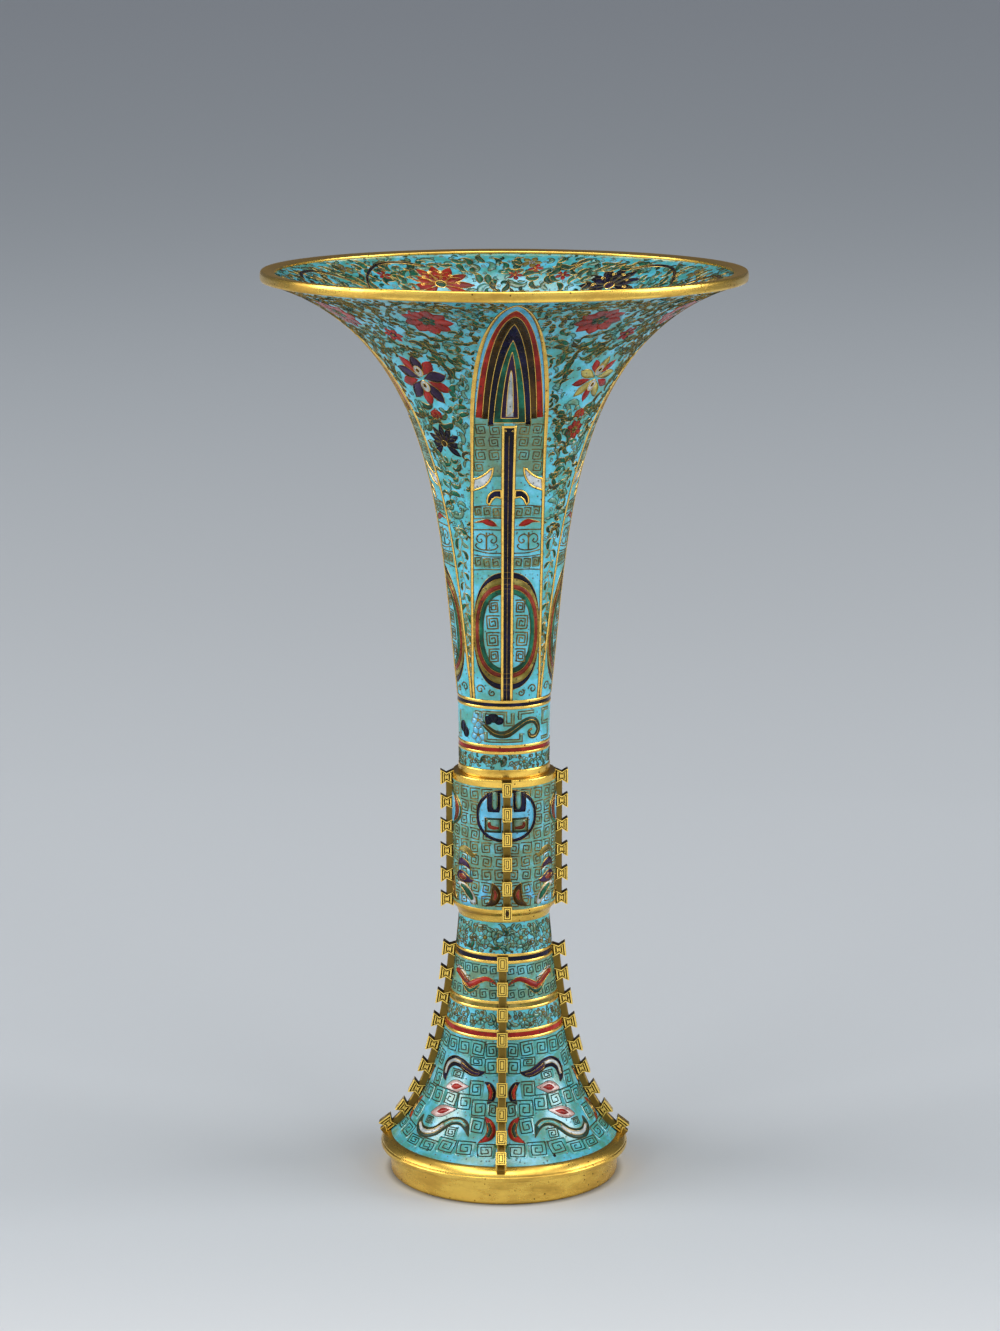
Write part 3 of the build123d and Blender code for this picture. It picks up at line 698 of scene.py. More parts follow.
def tooth(reach, width):
    """Points (outward, up, across), faces, hollow points and upper faces of one tooth; the upper faces carry
    a share of painted shade. Its sides are a bow tie scaled in towards the middle, its waist more than its
    ends; its tip is a rectangle inset by lengths. A sunk step is an engraved line."""
    tip = reach - TIP_BEVEL
    bow = np.array([(-TOOTH_SINK, TOOTH_HALF), (reach / 2, WAIST_HALF), (tip, TOOTH_HALF),
                    (tip, -TOOTH_HALF), (reach / 2, -WAIST_HALF), (-TOOTH_SINK, -TOOTH_HALF)])
    middle = np.array([reach / 2, 0])
    share, sunk = np.array(SIDE_STEPS, dtype=float).T
    loops = middle + (bow - middle) * share[:, None, None]
    loops[:, [1, 4], 1] *= share[:, None] ** PINCH
    across = np.broadcast_to((width / 2 + sunk)[:, None, None], (len(share), 6, 1))
    last = 6 * (len(share) - 1)
    quads = np.vstack([grid_quads(len(share), 6, close_columns=True),
                       [[last, last + 1, last + 4, last + 5], [last + 1, last + 2, last + 3, last + 4]]])
    sides = [(np.concatenate([loops, side * across], axis=-1).reshape(-1, 3), quads) for side in (1, -1)]
    inset_by, drop = np.array(TIP_STEPS, dtype=float).T
    corner = np.array([(1, 1), (1, -1), (-1, -1), (-1, 1)])
    frame_loops = corner * (np.array([TOOTH_HALF, width / 2]) - inset_by[:, None, None])
    outward = np.broadcast_to((reach + drop)[:, None, None], (len(drop), 4, 1))
    last = 4 * (len(drop) - 1)
    tip_quads = np.vstack([grid_quads(len(drop), 4, close_columns=True), [last + np.arange(4)]])
    face = (np.concatenate([outward, frame_loops], axis=-1).reshape(-1, 3), tip_quads)
    edge = np.array([0, 1, 3, 4, 5])
    far = len(sides[0][0])
    web = np.stack([edge, (edge + 1) % 6, far + (edge + 1) % 6, far + edge], axis=1)
    points, quads = joined([*sides, face])
    hollow = np.concatenate([np.tile(np.repeat(sunk < 0, 6), 2), np.repeat((drop < 0) & (inset_by > 0), 4)])
    # The faces of a tooth that look up get painted shade.
    upper = np.concatenate([np.zeros(len(quads)), edge < 2])
    return points, np.vstack([quads, web]), hollow.astype(float), upper * UPPER_SHADE


print("a tooth has", len(tooth(*FOOT_TOOTH)[1]), "faces")

# %% [markdown]
# A flange is built upright and flat, and then set on its wall: each tooth is turned to the slope where it
# stands. Its mesh carries two numbers for the gilding: hollow on the sunk points and on the strip, and upper
# on the faces that look up. In the sunk points it is grime and painted shade; on the strip between the teeth
# and on the upper faces it is painted shade.

# %% Flanges
STRIP_STEPS, STRIP_EASE, STRIP_SINK, MERGE = 60, 0.25, 0.3, 0.002 * MM


def beside(angle, r, z, across):
    """Points in metres at a radius and height, moved sideways from an angle."""
    return np.stack([r * np.sin(angle) + across * np.cos(angle),
                     -r * np.cos(angle) + across * np.sin(angle), z + 0 * across], axis=-1) * MM


def strip(wall, angle, low, high, reach, width):
    """The strip that carries the teeth: a rectangle with two eased edges, carried along the wall."""
    s = np.linspace(low, high, STRIP_STEPS)[:, None]
    half, flat, edge = width / 2, width / 2 - STRIP_EASE, reach - STRIP_EASE
    lift = np.array([-STRIP_SINK, edge, reach, reach, edge, -STRIP_SINK])
    across = np.array([-half, -half, -flat, flat, half, half])
    r, z = wall.section(s + 0 * lift, lift + 0 * s)
    points = beside(angle, r, z, across + 0 * s).reshape(-1, 3)
    last = 6 * (STRIP_STEPS - 1)
    ends = [[first + step for step in face] for face in ((0, 1, 4, 5), (1, 2, 3, 4)) for first in (0, last)]
    return points, np.vstack([grid_quads(STRIP_STEPS, 6, close_columns=True), ends])


def mark(made, name, domain, values):
    """Writes a number on every point or face of a mesh, for its material to read."""
    layer = made.data.attributes.new(name, "FLOAT", domain)
    layer.data.foreach_set("value", values.astype(np.float32))


def flange(name, wall, turn, spots, size, strip_size, toe):
    """A strip with a tooth at each spot; doubled points are merged and the faces turned outwards."""
    angle = math.radians(turn)
    points, quads, hollow, upper = tooth(*size)
    out, up, across = points.T
    along_r, along_z = (np.interp(spots, wall.s, column)[:, None] for column in wall.along.T)
    r, z = wall.section(spots)
    tooth_r = r[:, None] + out * along_z + up * along_r
    tooth_z = z[:, None] - out * along_r + up * along_z
    teeth = beside(angle, tooth_r, tooth_z, across + 0 * tooth_r)
    bar = strip(wall, angle, spots[-1] - toe, spots[0], *strip_size)
    mesh = joined([*((one, quads) for one in teeth), bar])
    made = piece(name + "_engraved", *mesh, "engraved", name, smooth=False)
    # Painted shade on the strip between the teeth.
    bar_shade, bar_upper = np.full(len(bar[0]), STRIP_SHADE), np.zeros(len(bar[1]))
    mark(made, "hollow", "POINT", np.concatenate([np.tile(hollow, len(spots)), bar_shade]))
    mark(made, "upper", "FACE", np.concatenate([np.tile(upper, len(spots)), bar_upper]))
    shell = bmesh.new()
    shell.from_mesh(made.data)
    bmesh.ops.remove_doubles(shell, verts=shell.verts, dist=MERGE)
    bmesh.ops.recalc_face_normals(shell, faces=shell.faces)
    shell.to_mesh(made.data)
    shell.free()


KNOP_TURN, FOOT_TURN, BLADE_TURN = 2.8, -1.5, 3.0
KNOP_STRIP, FOOT_STRIP, FOOT_TOE = (2.0, 2.3), (2.2, 2.5), 3.3
SIDES = {"front": 0, "right": 90, "back": 180, "left": 270}
knop_spots = np.linspace(129.9, 90.1, 6) - KNOP_LOW
foot_spots = np.linspace(FOOT.length - 12.6, 0.4, 9)
for side, quarter in SIDES.items():
    flange("knop_flange_" + side, KNOP, KNOP_TURN + quarter, knop_spots, KNOP_TOOTH, KNOP_STRIP, 0.0)
    flange("foot_flange_" + side, FOOT, FOOT_TURN + quarter, foot_spots, FOOT_TOOTH, FOOT_STRIP, FOOT_TOE)
print("eight flanges,", len(knop_spots), "and", len(foot_spots), "teeth each")

# %% [markdown]
# The drawing on the walls is made of two things only. A cell is a thin plate of enamel between two edges,
# and a wire is a ridge of metal along a line. Both are grids: rows along the motif and columns across it.
# They are drawn flat, in millimetres round the wall and up it, and the wall then bends them to its shape.
# An inlay gathers everything that is drawn on one wall, and makes one piece of each finish.

# %% Cells and wires
SINK, CELL_LIFT, CELL_SPAN, WIRE_CREST, OUTLINE_CREST = 0.03, 0.04, 1.6, 0.14, 0.2
# SHADE_SEAM_CREST is the height of the painted shade ridge under a wire, as a share of the wire's crest.
FLAT_WIDTH, SHADE_SEAM_CREST, FLOW_STEPS = 0.33, 0.45, 5


def left_sides(step):
    """Unit normals on the left of many steps along lines."""
    normal = line_of(-step[..., 1], step[..., 0])
    return normal / np.maximum(np.linalg.norm(normal, axis=-1, keepdims=True), 1e-9)


class Inlay:
    """Cells and wires on one wall; x runs round the wall from a turn in degrees, and s up the wall."""

    def __init__(self, zone, wall):
        self.zone, self.wall, self.grids = zone, wall, {}

    def add(self, finish, grid, lift, turns=0, about=0, sides=(1,), closed=False):
        """Grids of (x, s) points, rows by columns, mirrored by sides and repeated at the turns; about gives
        each grid of a batch its own turn. A grid that would face the wall has its columns reversed."""
        rows, columns = grid.shape[-3:-1]
        x = np.stack([grid[..., 0] * side for side in sides]).reshape(len(sides), -1, rows, columns)
        s = np.broadcast_to(grid[..., 1].reshape(-1, rows, columns), x.shape)
        about = np.broadcast_to(np.radians(about), x.shape[1])[:, None, None]
        turns = np.radians(np.atleast_1d(turns))[:, None, None, None, None]
        angle = turns + about + x / self.wall.radius(s)
        s, lift = np.broadcast_to(s, angle.shape), np.broadcast_to(lift, angle.shape)
        points = self.wall.place(angle, s, lift).reshape(-1, rows, columns, 3)
        above = self.wall.place(angle, s, lift + 1).reshape(-1, rows, columns, 3)
        corner = points[:, :-1, :-1]
        step_on, step_up = points[:, :-1, 1:] - corner, points[:, 1:, :-1] - corner
        facing = np.sum(np.cross(step_on, step_up) * (above - points)[:, :-1, :-1], axis=(1, 2, 3))
        points = np.where(facing[:, None, None, None] < 0, points[:, :, ::-1], points)
        quads = grid_quads(rows, columns, close_rows=closed)
        shift = np.arange(len(points))[:, None, None] * rows * columns
        self.grids.setdefault(finish, []).append((points.reshape(-1, 3), (quads + shift).reshape(-1, 4)))

    def cell(self, finish, left, right, level=1, closed=False, **where):
        """A plate between two edges, each a line of (x, s) points; its rim turns down into the wall."""
        left, right = np.asarray(left, dtype=float), np.asarray(right, dtype=float)
        span = np.max(np.hypot(*np.moveaxis(right - left, -1, 0)))
        share = np.linspace(0, 1, 2 + int(span / CELL_SPAN))
        share = np.concatenate([[0], share, [1]])[:, None]
        grid = left[..., None, :] * (1 - share) + right[..., None, :] * share
        lift = np.full(grid.shape[-3:-1], level * CELL_LIFT)
        lift[:, [0, -1]] = -SINK
        self.add(finish, *self.ended(grid, lift, closed), closed=closed, **where)

    def wire(self, path, width=0.3, finish="wire", crest=WIRE_CREST, closed=False, seam=0.0, **where):
        """A ridge along a path of (x, s) points, mitred at its corners; a wide one has a flat top. The seam
        width adds painted shade: a wider, lower ridge of dark enamel under the wire that shows on both its
        sides."""
        path = np.asarray(path, dtype=float)
        # Painted shade beside the wire: a dark ridge, wider and lower than the wire itself.
        if seam:
            self.wire(path, width + 2 * seam, "fret", crest * SHADE_SEAM_CREST, closed, **where)
        step = (np.roll(path, -1, axis=-2) - path) if closed else np.diff(path, axis=-2)
        normal = left_sides(step)
        if closed:
            before = np.roll(normal, 1, axis=-2)
        else:
            normal = np.concatenate([normal, normal[..., -1:, :]], axis=-2)
            before = np.concatenate([normal[..., :1, :], normal[..., :-1, :]], axis=-2)
        turn = np.sum(normal * before, axis=-1, keepdims=True)
        mitre = (normal + before) / np.maximum(1 + turn, 0.5)
        offset = np.array([-1, -0.7, 0.7, 1] if width > FLAT_WIDTH else [-1, 0, 1])[:, None] * width / 2
        grid = path[..., None, :] + mitre[..., None, :] * offset
        lift = np.full(grid.shape[-3:-1], crest)
        lift[:, [0, -1]] = -SINK
        self.add(finish, *self.ended(grid, lift, closed), closed=closed, **where)

    @staticmethod
    def ended(grid, lift, closed):
        """An open grid gets a sunk row at each end, so that it closes against the wall."""
        if closed:
            return grid, lift
        grid = np.concatenate([grid[..., :1, :, :], grid, grid[..., -1:, :, :]], axis=-3)
        sunk = np.full_like(lift[:1], -SINK)
        return grid, np.concatenate([sunk, lift, sunk])

    def outlined(self, finish, left, right, level=1, rim=0.28, metal="wire", seam=0.0, **where):
        """A cell with a wire round it, or a bare cell if the rim is 0."""
        left, right = np.asarray(left, dtype=float), np.asarray(right, dtype=float)
        self.cell(finish, left, right, level, **where)
        if rim:
            loop = np.concatenate([left, right[..., -2:0:-1, :]], axis=-2)
            self.wire(loop, rim, metal, WIRE_CREST + (level - 1) * CELL_LIFT, True, seam, **where)

    def build(self):
        """One piece for each finish, named for the zone."""
        for finish, parts in self.grids.items():
            piece(f"{self.zone}_{finish}_inlay", *joined(parts), finish)
        faces = {finish: sum(len(quads) for points, quads in parts) for finish, parts in self.grids.items()}
        print(self.zone, "inlay faces", faces)


def flow(points):
    """A smooth line through a few points (Catmull-Rom); further columns, such as a width, flow along."""
    point = np.asarray(points, dtype=float)
    around = np.vstack([2 * point[:1] - point[1:2], point, 2 * point[-1:] - point[-2:-1]])
    a, b, c, d = (part[:, None] for part in (around[:-3], around[1:-2], around[2:-1], around[3:]))
    t = np.linspace(0, 1, FLOW_STEPS, endpoint=False)[None, :, None]
    line = b + 0.5 * ((c - a) * t + (2 * a - 5 * b + 4 * c - d) * t ** 2 + (3 * b - a - 3 * c + d) * t ** 3)
    return np.vstack([line.reshape(-1, point.shape[1]), point[-1:]])


def edges(line):
    """Left and right edges of a stroke of (x, s, half width) points."""
    middle = line[..., :2]
    side = left_sides(np.gradient(middle, axis=-2)) * line[..., 2:]
    return middle + side, middle - side


def stroke(inlay, finish, points, level=1, rim=0.28, **where):
    """A tapering stroke through a few (x, s, half width) points, with a wire round it."""
    inlay.outlined(finish, *edges(flow(points)), level, rim, **where)


print("inlay tools ready")

# %% [markdown]
# Key-fret, or thunder pattern, fills the ground of the blades, the knop and the foot: squared spirals in a
# dark line on paler enamel. One spiral is a line whose distance from the middle shrinks as it turns,
# pressed into a square; a whole field of them is worked out as one array.

# %% Key-fret
FRET_TURNS, FRET_STEP, FRET_HEART, FRET_SQUARE = 2.35, 30, 0.16, 0.85
FRET_CREST, FRET_SHAKE, BED_SIZE, BED_SQUARE = 0.1, 0.06, 1.07, 7


def fret_line(turns=FRET_TURNS):
    """Angle steps that meet each corner; the radius falls evenly from 1 to the heart, squared off."""
    angle = np.radians(np.arange(45, 45 + 360 * turns, FRET_STEP))
    across, up = np.cos(angle), np.sin(angle)
    reach = np.linspace(1, FRET_HEART, len(angle)) / np.maximum(abs(across), abs(up)) ** FRET_SQUARE
    return line_of(reach * across, reach * up)


def frets(inlay, about, s, width, height, hand, wire, metal="fret", bed=None, turns=FRET_TURNS):
    """Spirals at many places: angles in degrees, heights, sizes and the hand that they turn to, all
    slightly shaken, since they were bent by hand. A bed is a plate of another enamel under each, with
    round corners."""
    about, s, width, height, hand = np.broadcast_arrays(about, s, width, height, hand)
    shake = np.sin(np.arange(len(s)) * 7.1 + s)
    size = (line_of(width * hand, height) * (1 + FRET_SHAKE * shake[:, None]))[:, None] / 2
    middle = line_of(0.12 * shake, s + 0.1 * np.sin(5 * shake))[:, None]
    inlay.wire(fret_line(turns) * size + middle, wire, metal, FRET_CREST, about=about)
    if bed:
        plate = halves(1, 1, power=BED_SQUARE, count=9)
        left, right = (side * abs(size) * BED_SIZE + middle for side in plate)
        inlay.cell(bed, left, right, 0.5, about=about)


def halves(half_x, half_s, middle=0.0, power=2.0, count=17):
    """The left and right side of an oval, from its foot to its top; a higher power squares it."""
    angle = np.radians(np.linspace(-88, 88, count))
    right = line_of(half_x * np.cos(angle) ** (2 / power),
                    middle + half_s * np.sign(angle) * abs(np.sin(angle)) ** (2 / power))
    return right * [-1, 1], right


def outside(x, s, *ovals):
    """True where points lie outside all ovals, each given by its middle and half sizes."""
    return np.all([((x - a) / c) ** 2 + ((s - b) / d) ** 2 > 1 for a, b, c, d in ovals], axis=0)


print("a key-fret has", len(fret_line()), "points")

# %% [markdown]
# Flowers and leaves are drawn many times over, so each is a small grid that numpy repeats in one step. A
# petal is a teardrop that points away from the heart of its flower, and a leaf is a comma: a line that
# bends ever faster, blunt where it starts and thin where it ends. Curls of plain wire lie between them.

# %% Petals, leaves and curls
FULL_RING, PETAL_POINTS, LEAF_POINTS, EYE_RIM = 360.0, 7, 8, 0.18
LOTUS_FANS = ((9, 0.1, 1.0, 0.16, 256.0), (5, 0.08, 0.72, 0.14, 140.0), (3, 0.05, 0.44, 0.13, 70.0))
LOTUS_EYE, ROSETTE_EYE = 0.16, 0.12
CURL_TURNS, CURL_HEART, CURL_POINTS, CURL_SIZE = 1.3, 0.22, 12, 0.3
ROW_STEP, ROW_SHAKE = 0.86, 0.3
LEAF_LEAST, LEAF_ROOM, LEAF_SIZES, LEAF_BENDS = 1.8, 1.3, (0.75, 1.2), (1.2, 3.4)


def lists(*values):
    """Numbers and arrays as arrays of one length."""
    return np.broadcast_arrays(*(np.atleast_1d(value).astype(float) for value in values))


def shifted(shape, s):
    """A batch of shapes moved up the wall, each to its own height."""
    return shape + line_of(0 * s, s)[:, None]


def petals(inlay, finish, about, s, count, start, end, half, level=1, turn=0.0, squash=1.0, rim=0.2,
           fan=FULL_RING, metal="outline"):
    """Rings or fans of teardrops: width follows the sine of the length to a power, so the widest part
    lies outside."""
    about, s = lists(about, s)
    gaps, first = (count, 0) if fan == FULL_RING else (count - 1, (count - 1) / 2)
    angle = np.radians(90 + turn + (np.arange(count) - first) * (fan / gaps))[:, None]
    t = np.linspace(0, 1, PETAL_POINTS)
    reach = start + (end - start) * t
    wide = half * np.sin(np.pi * t ** 1.25 * 0.98 + 0.04)
    line = line_of(reach * np.cos(angle), reach * np.sin(angle))
    side = line_of(-np.sin(angle), np.cos(angle)) * wide[:, None]
    places, turns = np.repeat(s, count), np.repeat(about, count)
    left, right = (shifted(np.tile((line + hand * side) * [1.0, squash], (len(s), 1, 1)), places)
                   for hand in (1, -1))
    inlay.outlined(finish, left, right, level, rim, metal, about=turns)


def discs(inlay, finish, about, s, half_x, half_s, level=1, rim=0.26, metal="outline"):
    """Oval hearts and eyes, as a left and a right half circle."""
    about, s = lists(about, s)
    left, right = (shifted(side[None], s) for side in halves(half_x, half_s, count=9))
    inlay.outlined(finish, left, right, level, rim, metal, about=about)


def lotus(inlay, about, s, size, finishes, eye, squash=1.0, rim=0.16, metal="wire"):
    """A lotus seen from the side: three fans of petals, each narrower and before the last, and an eye."""
    for level, (finish, (count, *lengths, fan)) in enumerate(zip(finishes, LOTUS_FANS), 1):
        start, end, half = (size * length for length in lengths)
        petals(inlay, finish, about, s, count, start, end, half, level, 0.0, squash, rim, fan, metal)
    discs(inlay, eye, about, s, size * LOTUS_EYE, size * LOTUS_EYE * squash, 4, EYE_RIM)


def rosette(inlay, about, s, size, outer, heart, eye, count=8, rim=0.2, metal="wire"):
    """A round flower: broad petals all round, a ring of small ones, and an eye."""
    wired = {"rim": rim, "metal": metal}
    petals(inlay, outer, about, s, count, size * 0.06, size, size * 0.3, level=1, turn=22.5, **wired)
    petals(inlay, heart, about, s, 5, size * 0.04, size * 0.36, size * 0.13, level=2, **wired)
    discs(inlay, eye, about, s, size * ROSETTE_EYE, size * ROSETTE_EYE, 3, EYE_RIM, metal)


def leaves(inlay, finish, about, s, heading, length, bend, plump, rim, metal="wire", level=1):
    """Commas: the heading, in radians, turns ever faster along each one; half width is a skewed sine."""
    t = np.linspace(0, 1, LEAF_POINTS)
    turn = heading[:, None] + bend[:, None] * (t ** 2 - 0.3)
    step = line_of(np.cos(turn), np.sin(turn)) * (length / (LEAF_POINTS - 1))[:, None, None]
    spine = np.cumsum(step, axis=1)
    spine -= spine.mean(axis=1, keepdims=True)
    half = (length[:, None] * plump * np.sin(np.pi * (0.03 + 0.95 * t ** 0.7)))[..., None]
    left, right = edges(np.concatenate([shifted(spine, s), half], axis=-1))
    inlay.outlined(finish, left, right, level, rim, metal, about=about)


def curls(inlay, about, s, size, hand, turn=0.0, width=0.22, metal="outline"):
    """Small spirals of wire: the radius shrinks evenly as the angle grows."""
    about, s, size, hand, turn = lists(about, s, size, hand, turn)
    angle = np.linspace(0, 2 * np.pi * CURL_TURNS, CURL_POINTS) + turn[:, None]
    reach = size[:, None] * np.linspace(1, CURL_HEART, CURL_POINTS)
    path = line_of(hand[:, None] * reach * np.cos(angle), reach * np.sin(angle))
    inlay.wire(shifted(path, s), width, metal, about=about)


def scatter(wall, low, high, pitch, random):
    """Angles in degrees and heights of an even, slightly shaken scatter on a wall."""
    places = []
    for s in np.arange(low, high, pitch * ROW_STEP):
        count = int(2 * np.pi * wall.radius(s) / pitch)
        angle = (np.arange(count) + random.random()) * 360 / count
        angle = angle + random.uniform(-ROW_SHAKE, ROW_SHAKE, count) * 360 / count
        places.append(np.stack([angle, s + random.uniform(-ROW_SHAKE, ROW_SHAKE, count) * pitch]))
    return np.concatenate(places, axis=1)


def from_angle(angle, centre):
    """Angles measured from a centre, between -180 and 180."""
    return (np.asarray(angle) - centre + 180) % 360 - 180


def kept_clear(about, s, room):
    """A list of angle, height and half size for flowers that leaves stay out of."""
    return list(zip(*lists(about, s, room)))


def foliage(inlay, low, high, pitch, length, flowers, keep, seed, colours, plump, rim, turning=0.5,
            metal="wire", level=1, curl=0.26):
    """Leaves round flowers: each leaf follows the ring round the nearest flower, more or less. What the
    keep rule gives is the room for a leaf: none where it is not above 0, and small leaves where it is
    small. Colours gives each finish its share of the places."""
    random = np.random.default_rng(seed)
    about, s = scatter(inlay.wall, low, high, pitch, random)
    room = keep(about, s)
    kept = room > 0
    about, s, room = about[kept], s[kept], room[kept]
    flower_about, flower_s, flower_size = np.array(flowers, dtype=float).T
    away_x = np.radians(from_angle(about[:, None], flower_about)) * inlay.wall.radius(s)[:, None]
    away_s = s[:, None] - flower_s
    apart = np.hypot(away_x, away_s) / flower_size
    nearest = np.argmin(apart, axis=1)
    rows = np.arange(len(s))
    free = apart[rows, nearest] > 1.0
    heading = np.arctan2(away_s[rows, nearest], away_x[rows, nearest]) + np.pi / 2
    heading += random.uniform(-turning, turning, len(s)) + np.pi * random.integers(0, 2, len(s))
    size = np.minimum(length, LEAF_LEAST + LEAF_ROOM * room) * random.uniform(*LEAF_SIZES, len(s))
    bend = random.uniform(*LEAF_BENDS, len(s)) * random.choice([-1, 1], len(s))
    share = random.random(len(s))
    start = 0.0
    for finish, portion in colours.items():
        pick = free & (share >= start) & (share < start + portion)
        start += portion
        place, big = (about[pick], s[pick]), size[pick]
        if finish == "curl":
            curls(inlay, *place, big * CURL_SIZE, np.sign(bend[pick]), heading[pick], curl, "khaki")
        else:
            line = "fret" if finish == "sea" else metal
            leaves(inlay, finish, *place, heading[pick], big, bend[pick], plump, rim, line, level)


print("petals, leaves and curls ready")

# %% [markdown]
# The flare of the foot carries half a mask in each quarter between two flanges: a curled horn, two
# leaf-shaped eyes and a long S-shaped jaw, with crescents beside the flanges, all on key-fret. The
# quarters are mirror images in turn, so that a mask looks out on either side of the front flange. The
# enameller fitted the frets into the room that was left, so each one has its own place and size.

# %% Foot mask
QUARTERS = FOOT_TURN - 45 + 90 * np.arange(4)
MIRRORED = ((1, QUARTERS[0::2]), (-1, QUARTERS[1::2]))
foot = Inlay("foot_mask", FOOT)
THICK, THIN = 0.24, 0.16
HORN = [(-3.0, 25.2, 0.3), (-4.0, 27.2, 1.4), (-3.5, 30.2, 1.7), (-1.0, 32.1, 1.65), (2.2, 32.0, 1.5),
        (4.9, 30.8, 1.45), (7.3, 29.9, 1.25), (9.6, 29.8, 0.9), (11.3, 30.4, 0.2)]
JAW = [(-8.9, 12.2, 0.4), (-8.9, 9.3, 1.4), (-6.4, 7.6, 1.7), (-3.2, 7.6, 1.75), (0.0, 9.0, 1.7),
       (2.4, 11.6, 1.6), (5.0, 13.5, 1.3), (8.0, 13.9, 1.2), (10.4, 12.6, 1.0), (12.6, 9.5, 0.1)]
EYES = ([(-2.0, 23.3, 0.2), (0.2, 23.9, 1.7), (2.6, 24.5, 2.0), (4.8, 24.8, 1.1), (7.0, 25.2, 0.1)],
        [(-5.4, 13.8, 0.2), (-2.6, 14.9, 1.7), (0.2, 16.0, 1.9), (2.6, 16.8, 1.1), (5.0, 17.5, 0.1)])


def inner(points, share, shift=0.0, first=0, last=None):
    """A thinner stroke inside another: the same line, a share of its width, moved up the wall."""
    return [(x, s + shift, half * share) for x, s, half in points[first:last]]


for hand, quarters in MIRRORED:
    spot = {"turns": quarters, "sides": (hand,)}
    stroke(foot, "navy", HORN, 1, THICK, metal="khaki", **spot)
    stroke(foot, "purple", inner(HORN, 0.4, -0.3, 4, 8), 2, THIN, **spot)
    stroke(foot, "white", inner(HORN, 0.31, 0.15, 1, 5), 2, THIN, **spot)
    stroke(foot, "fret", JAW, 1, THICK, metal="khaki", **spot)
    stroke(foot, "white", inner(JAW, 0.38, 0.3, 1, 6), 2, THIN, **spot)
    stroke(foot, "teal", inner(JAW, 0.36, 0.1, 5, 9), 2, THIN, **spot)
    for eye in EYES:
        stroke(foot, "blush", eye, 1, THICK, metal="fret", **spot)
        middle = np.array([*eye[2][:2], 0])
        pupil = (np.array(eye) - middle) * [0.5, 0.5, 0.46] + middle
        stroke(foot, "red", pupil, 2, 0, **spot)

CRESCENTS = (
    ("navy", "red", [(-5.6, 27.2, 0.1), (-4.2, 26.4, 0.9), (-3.2, 24.2, 1.2), (-3.5, 22.0, 1.0),
                     (-4.8, 20.4, 0.1)]),
    ("red", "fret", [(-5.6, 16.4, 0.1), (-4.0, 14.6, 1.1), (-3.3, 12.2, 1.4), (-4.2, 9.9, 1.2),
                     (-7.6, 7.8, 0.1)]),
)
FOOT_FLANGES = FOOT_TURN + 90 * np.arange(4)
spot = {"turns": FOOT_FLANGES, "sides": (1, -1)}
for colour, shade, line in CRESCENTS:
    stroke(foot, colour, line, 1, THICK, metal="khaki", **spot)
    stroke(foot, shade, [(x - 0.35, s, half * 0.45) for x, s, half in line[1:4]], 2, THIN, **spot)

FOOT_FRETS = (
    (-12.2, 37.2, 3.4, 4.4), (-7.9, 37.2, 4.2, 4.6), (-3.0, 37.2, 4.4, 4.6), (2.2, 37.4, 4.4, 4.6),
    (7.4, 37.4, 4.4, 4.6), (12.2, 37.3, 3.6, 4.4), (-12.8, 31.4, 3.8, 4.8), (-8.4, 31.2, 3.6, 4.8),
    (7.8, 33.4, 4.2, 2.6), (12.9, 32.2, 4.0, 4.6), (1.8, 28.3, 4.6, 2.6), (-7.6, 24.8, 4.4, 5.0),
    (9.6, 24.8, 4.2, 4.8), (-15.8, 18.8, 3.8, 4.6), (-10.6, 19.2, 4.8, 5.0), (-4.9, 20.0, 4.9, 4.8),
    (1.1, 20.4, 4.9, 4.4), (7.0, 20.0, 4.9, 4.8), (12.5, 18.8, 4.8, 5.0), (17.0, 18.6, 2.8, 4.6),
    (-13.6, 12.4, 5.0, 5.4), (-4.6, 11.6, 3.0, 2.4), (13.9, 13.3, 4.4, 5.0), (6.2, 10.0, 3.8, 3.2),
    (-20.6, 5.6, 5.8, 4.6), (-13.7, 5.4, 5.8, 4.6), (-6.9, 3.7, 5.8, 3.2), (0.0, 4.0, 5.8, 3.6),
    (6.9, 5.2, 5.8, 4.6), (13.7, 5.4, 5.8, 4.8), (20.6, 5.2, 5.6, 4.6),
)
FRET_WIDER, FRET_TALLER = 1.18, 1.12
fret_x, fret_s, fret_wide, fret_tall = np.array(FOOT_FRETS).T
fret_hand = np.where(np.arange(len(fret_x)) % 3 == 1, -1, 1)
for hand, quarters in MIRRORED:
    for quarter in quarters:
        about = quarter + hand * np.degrees(fret_x / FOOT.radius(fret_s))
        frets(foot, about, fret_s, fret_wide * FRET_WIDER, fret_tall * FRET_TALLER, hand * fret_hand,
              wire=0.46, bed="teal", turns=2.2)
spots = np.array([-43.0, 29.0, 137.0]) + FOOT_TURN
discs(foot, "navy", spots, np.array([2.4, 2.6, 3.0]), 0.45, 0.5, rim=0.2, metal="fret")
foot.build()

# %% [markdown]
# Four long plantain blades climb the trumpet, each inside a thick gilt outline. The upper part is a set of
# pointed arches, one inside the other. Below stand a navy stem, crescents, hooks, key-fret, scrolls and
# an oval of coloured rings. An arch is a half width that falls as a power of one minus the square of the
# height, which gives a full shoulder and a pointed top.

# %% Blades
BLADES = BLADE_TURN + 90 * np.arange(4)
BLADE_HALF, BLADE_SHOULDER, BLADE_TOP = 11.4, 89.0, 148.4
ARCH_FOOT, ARCH_POINTS, STEM_TOP = 85.0, 18, 89.3
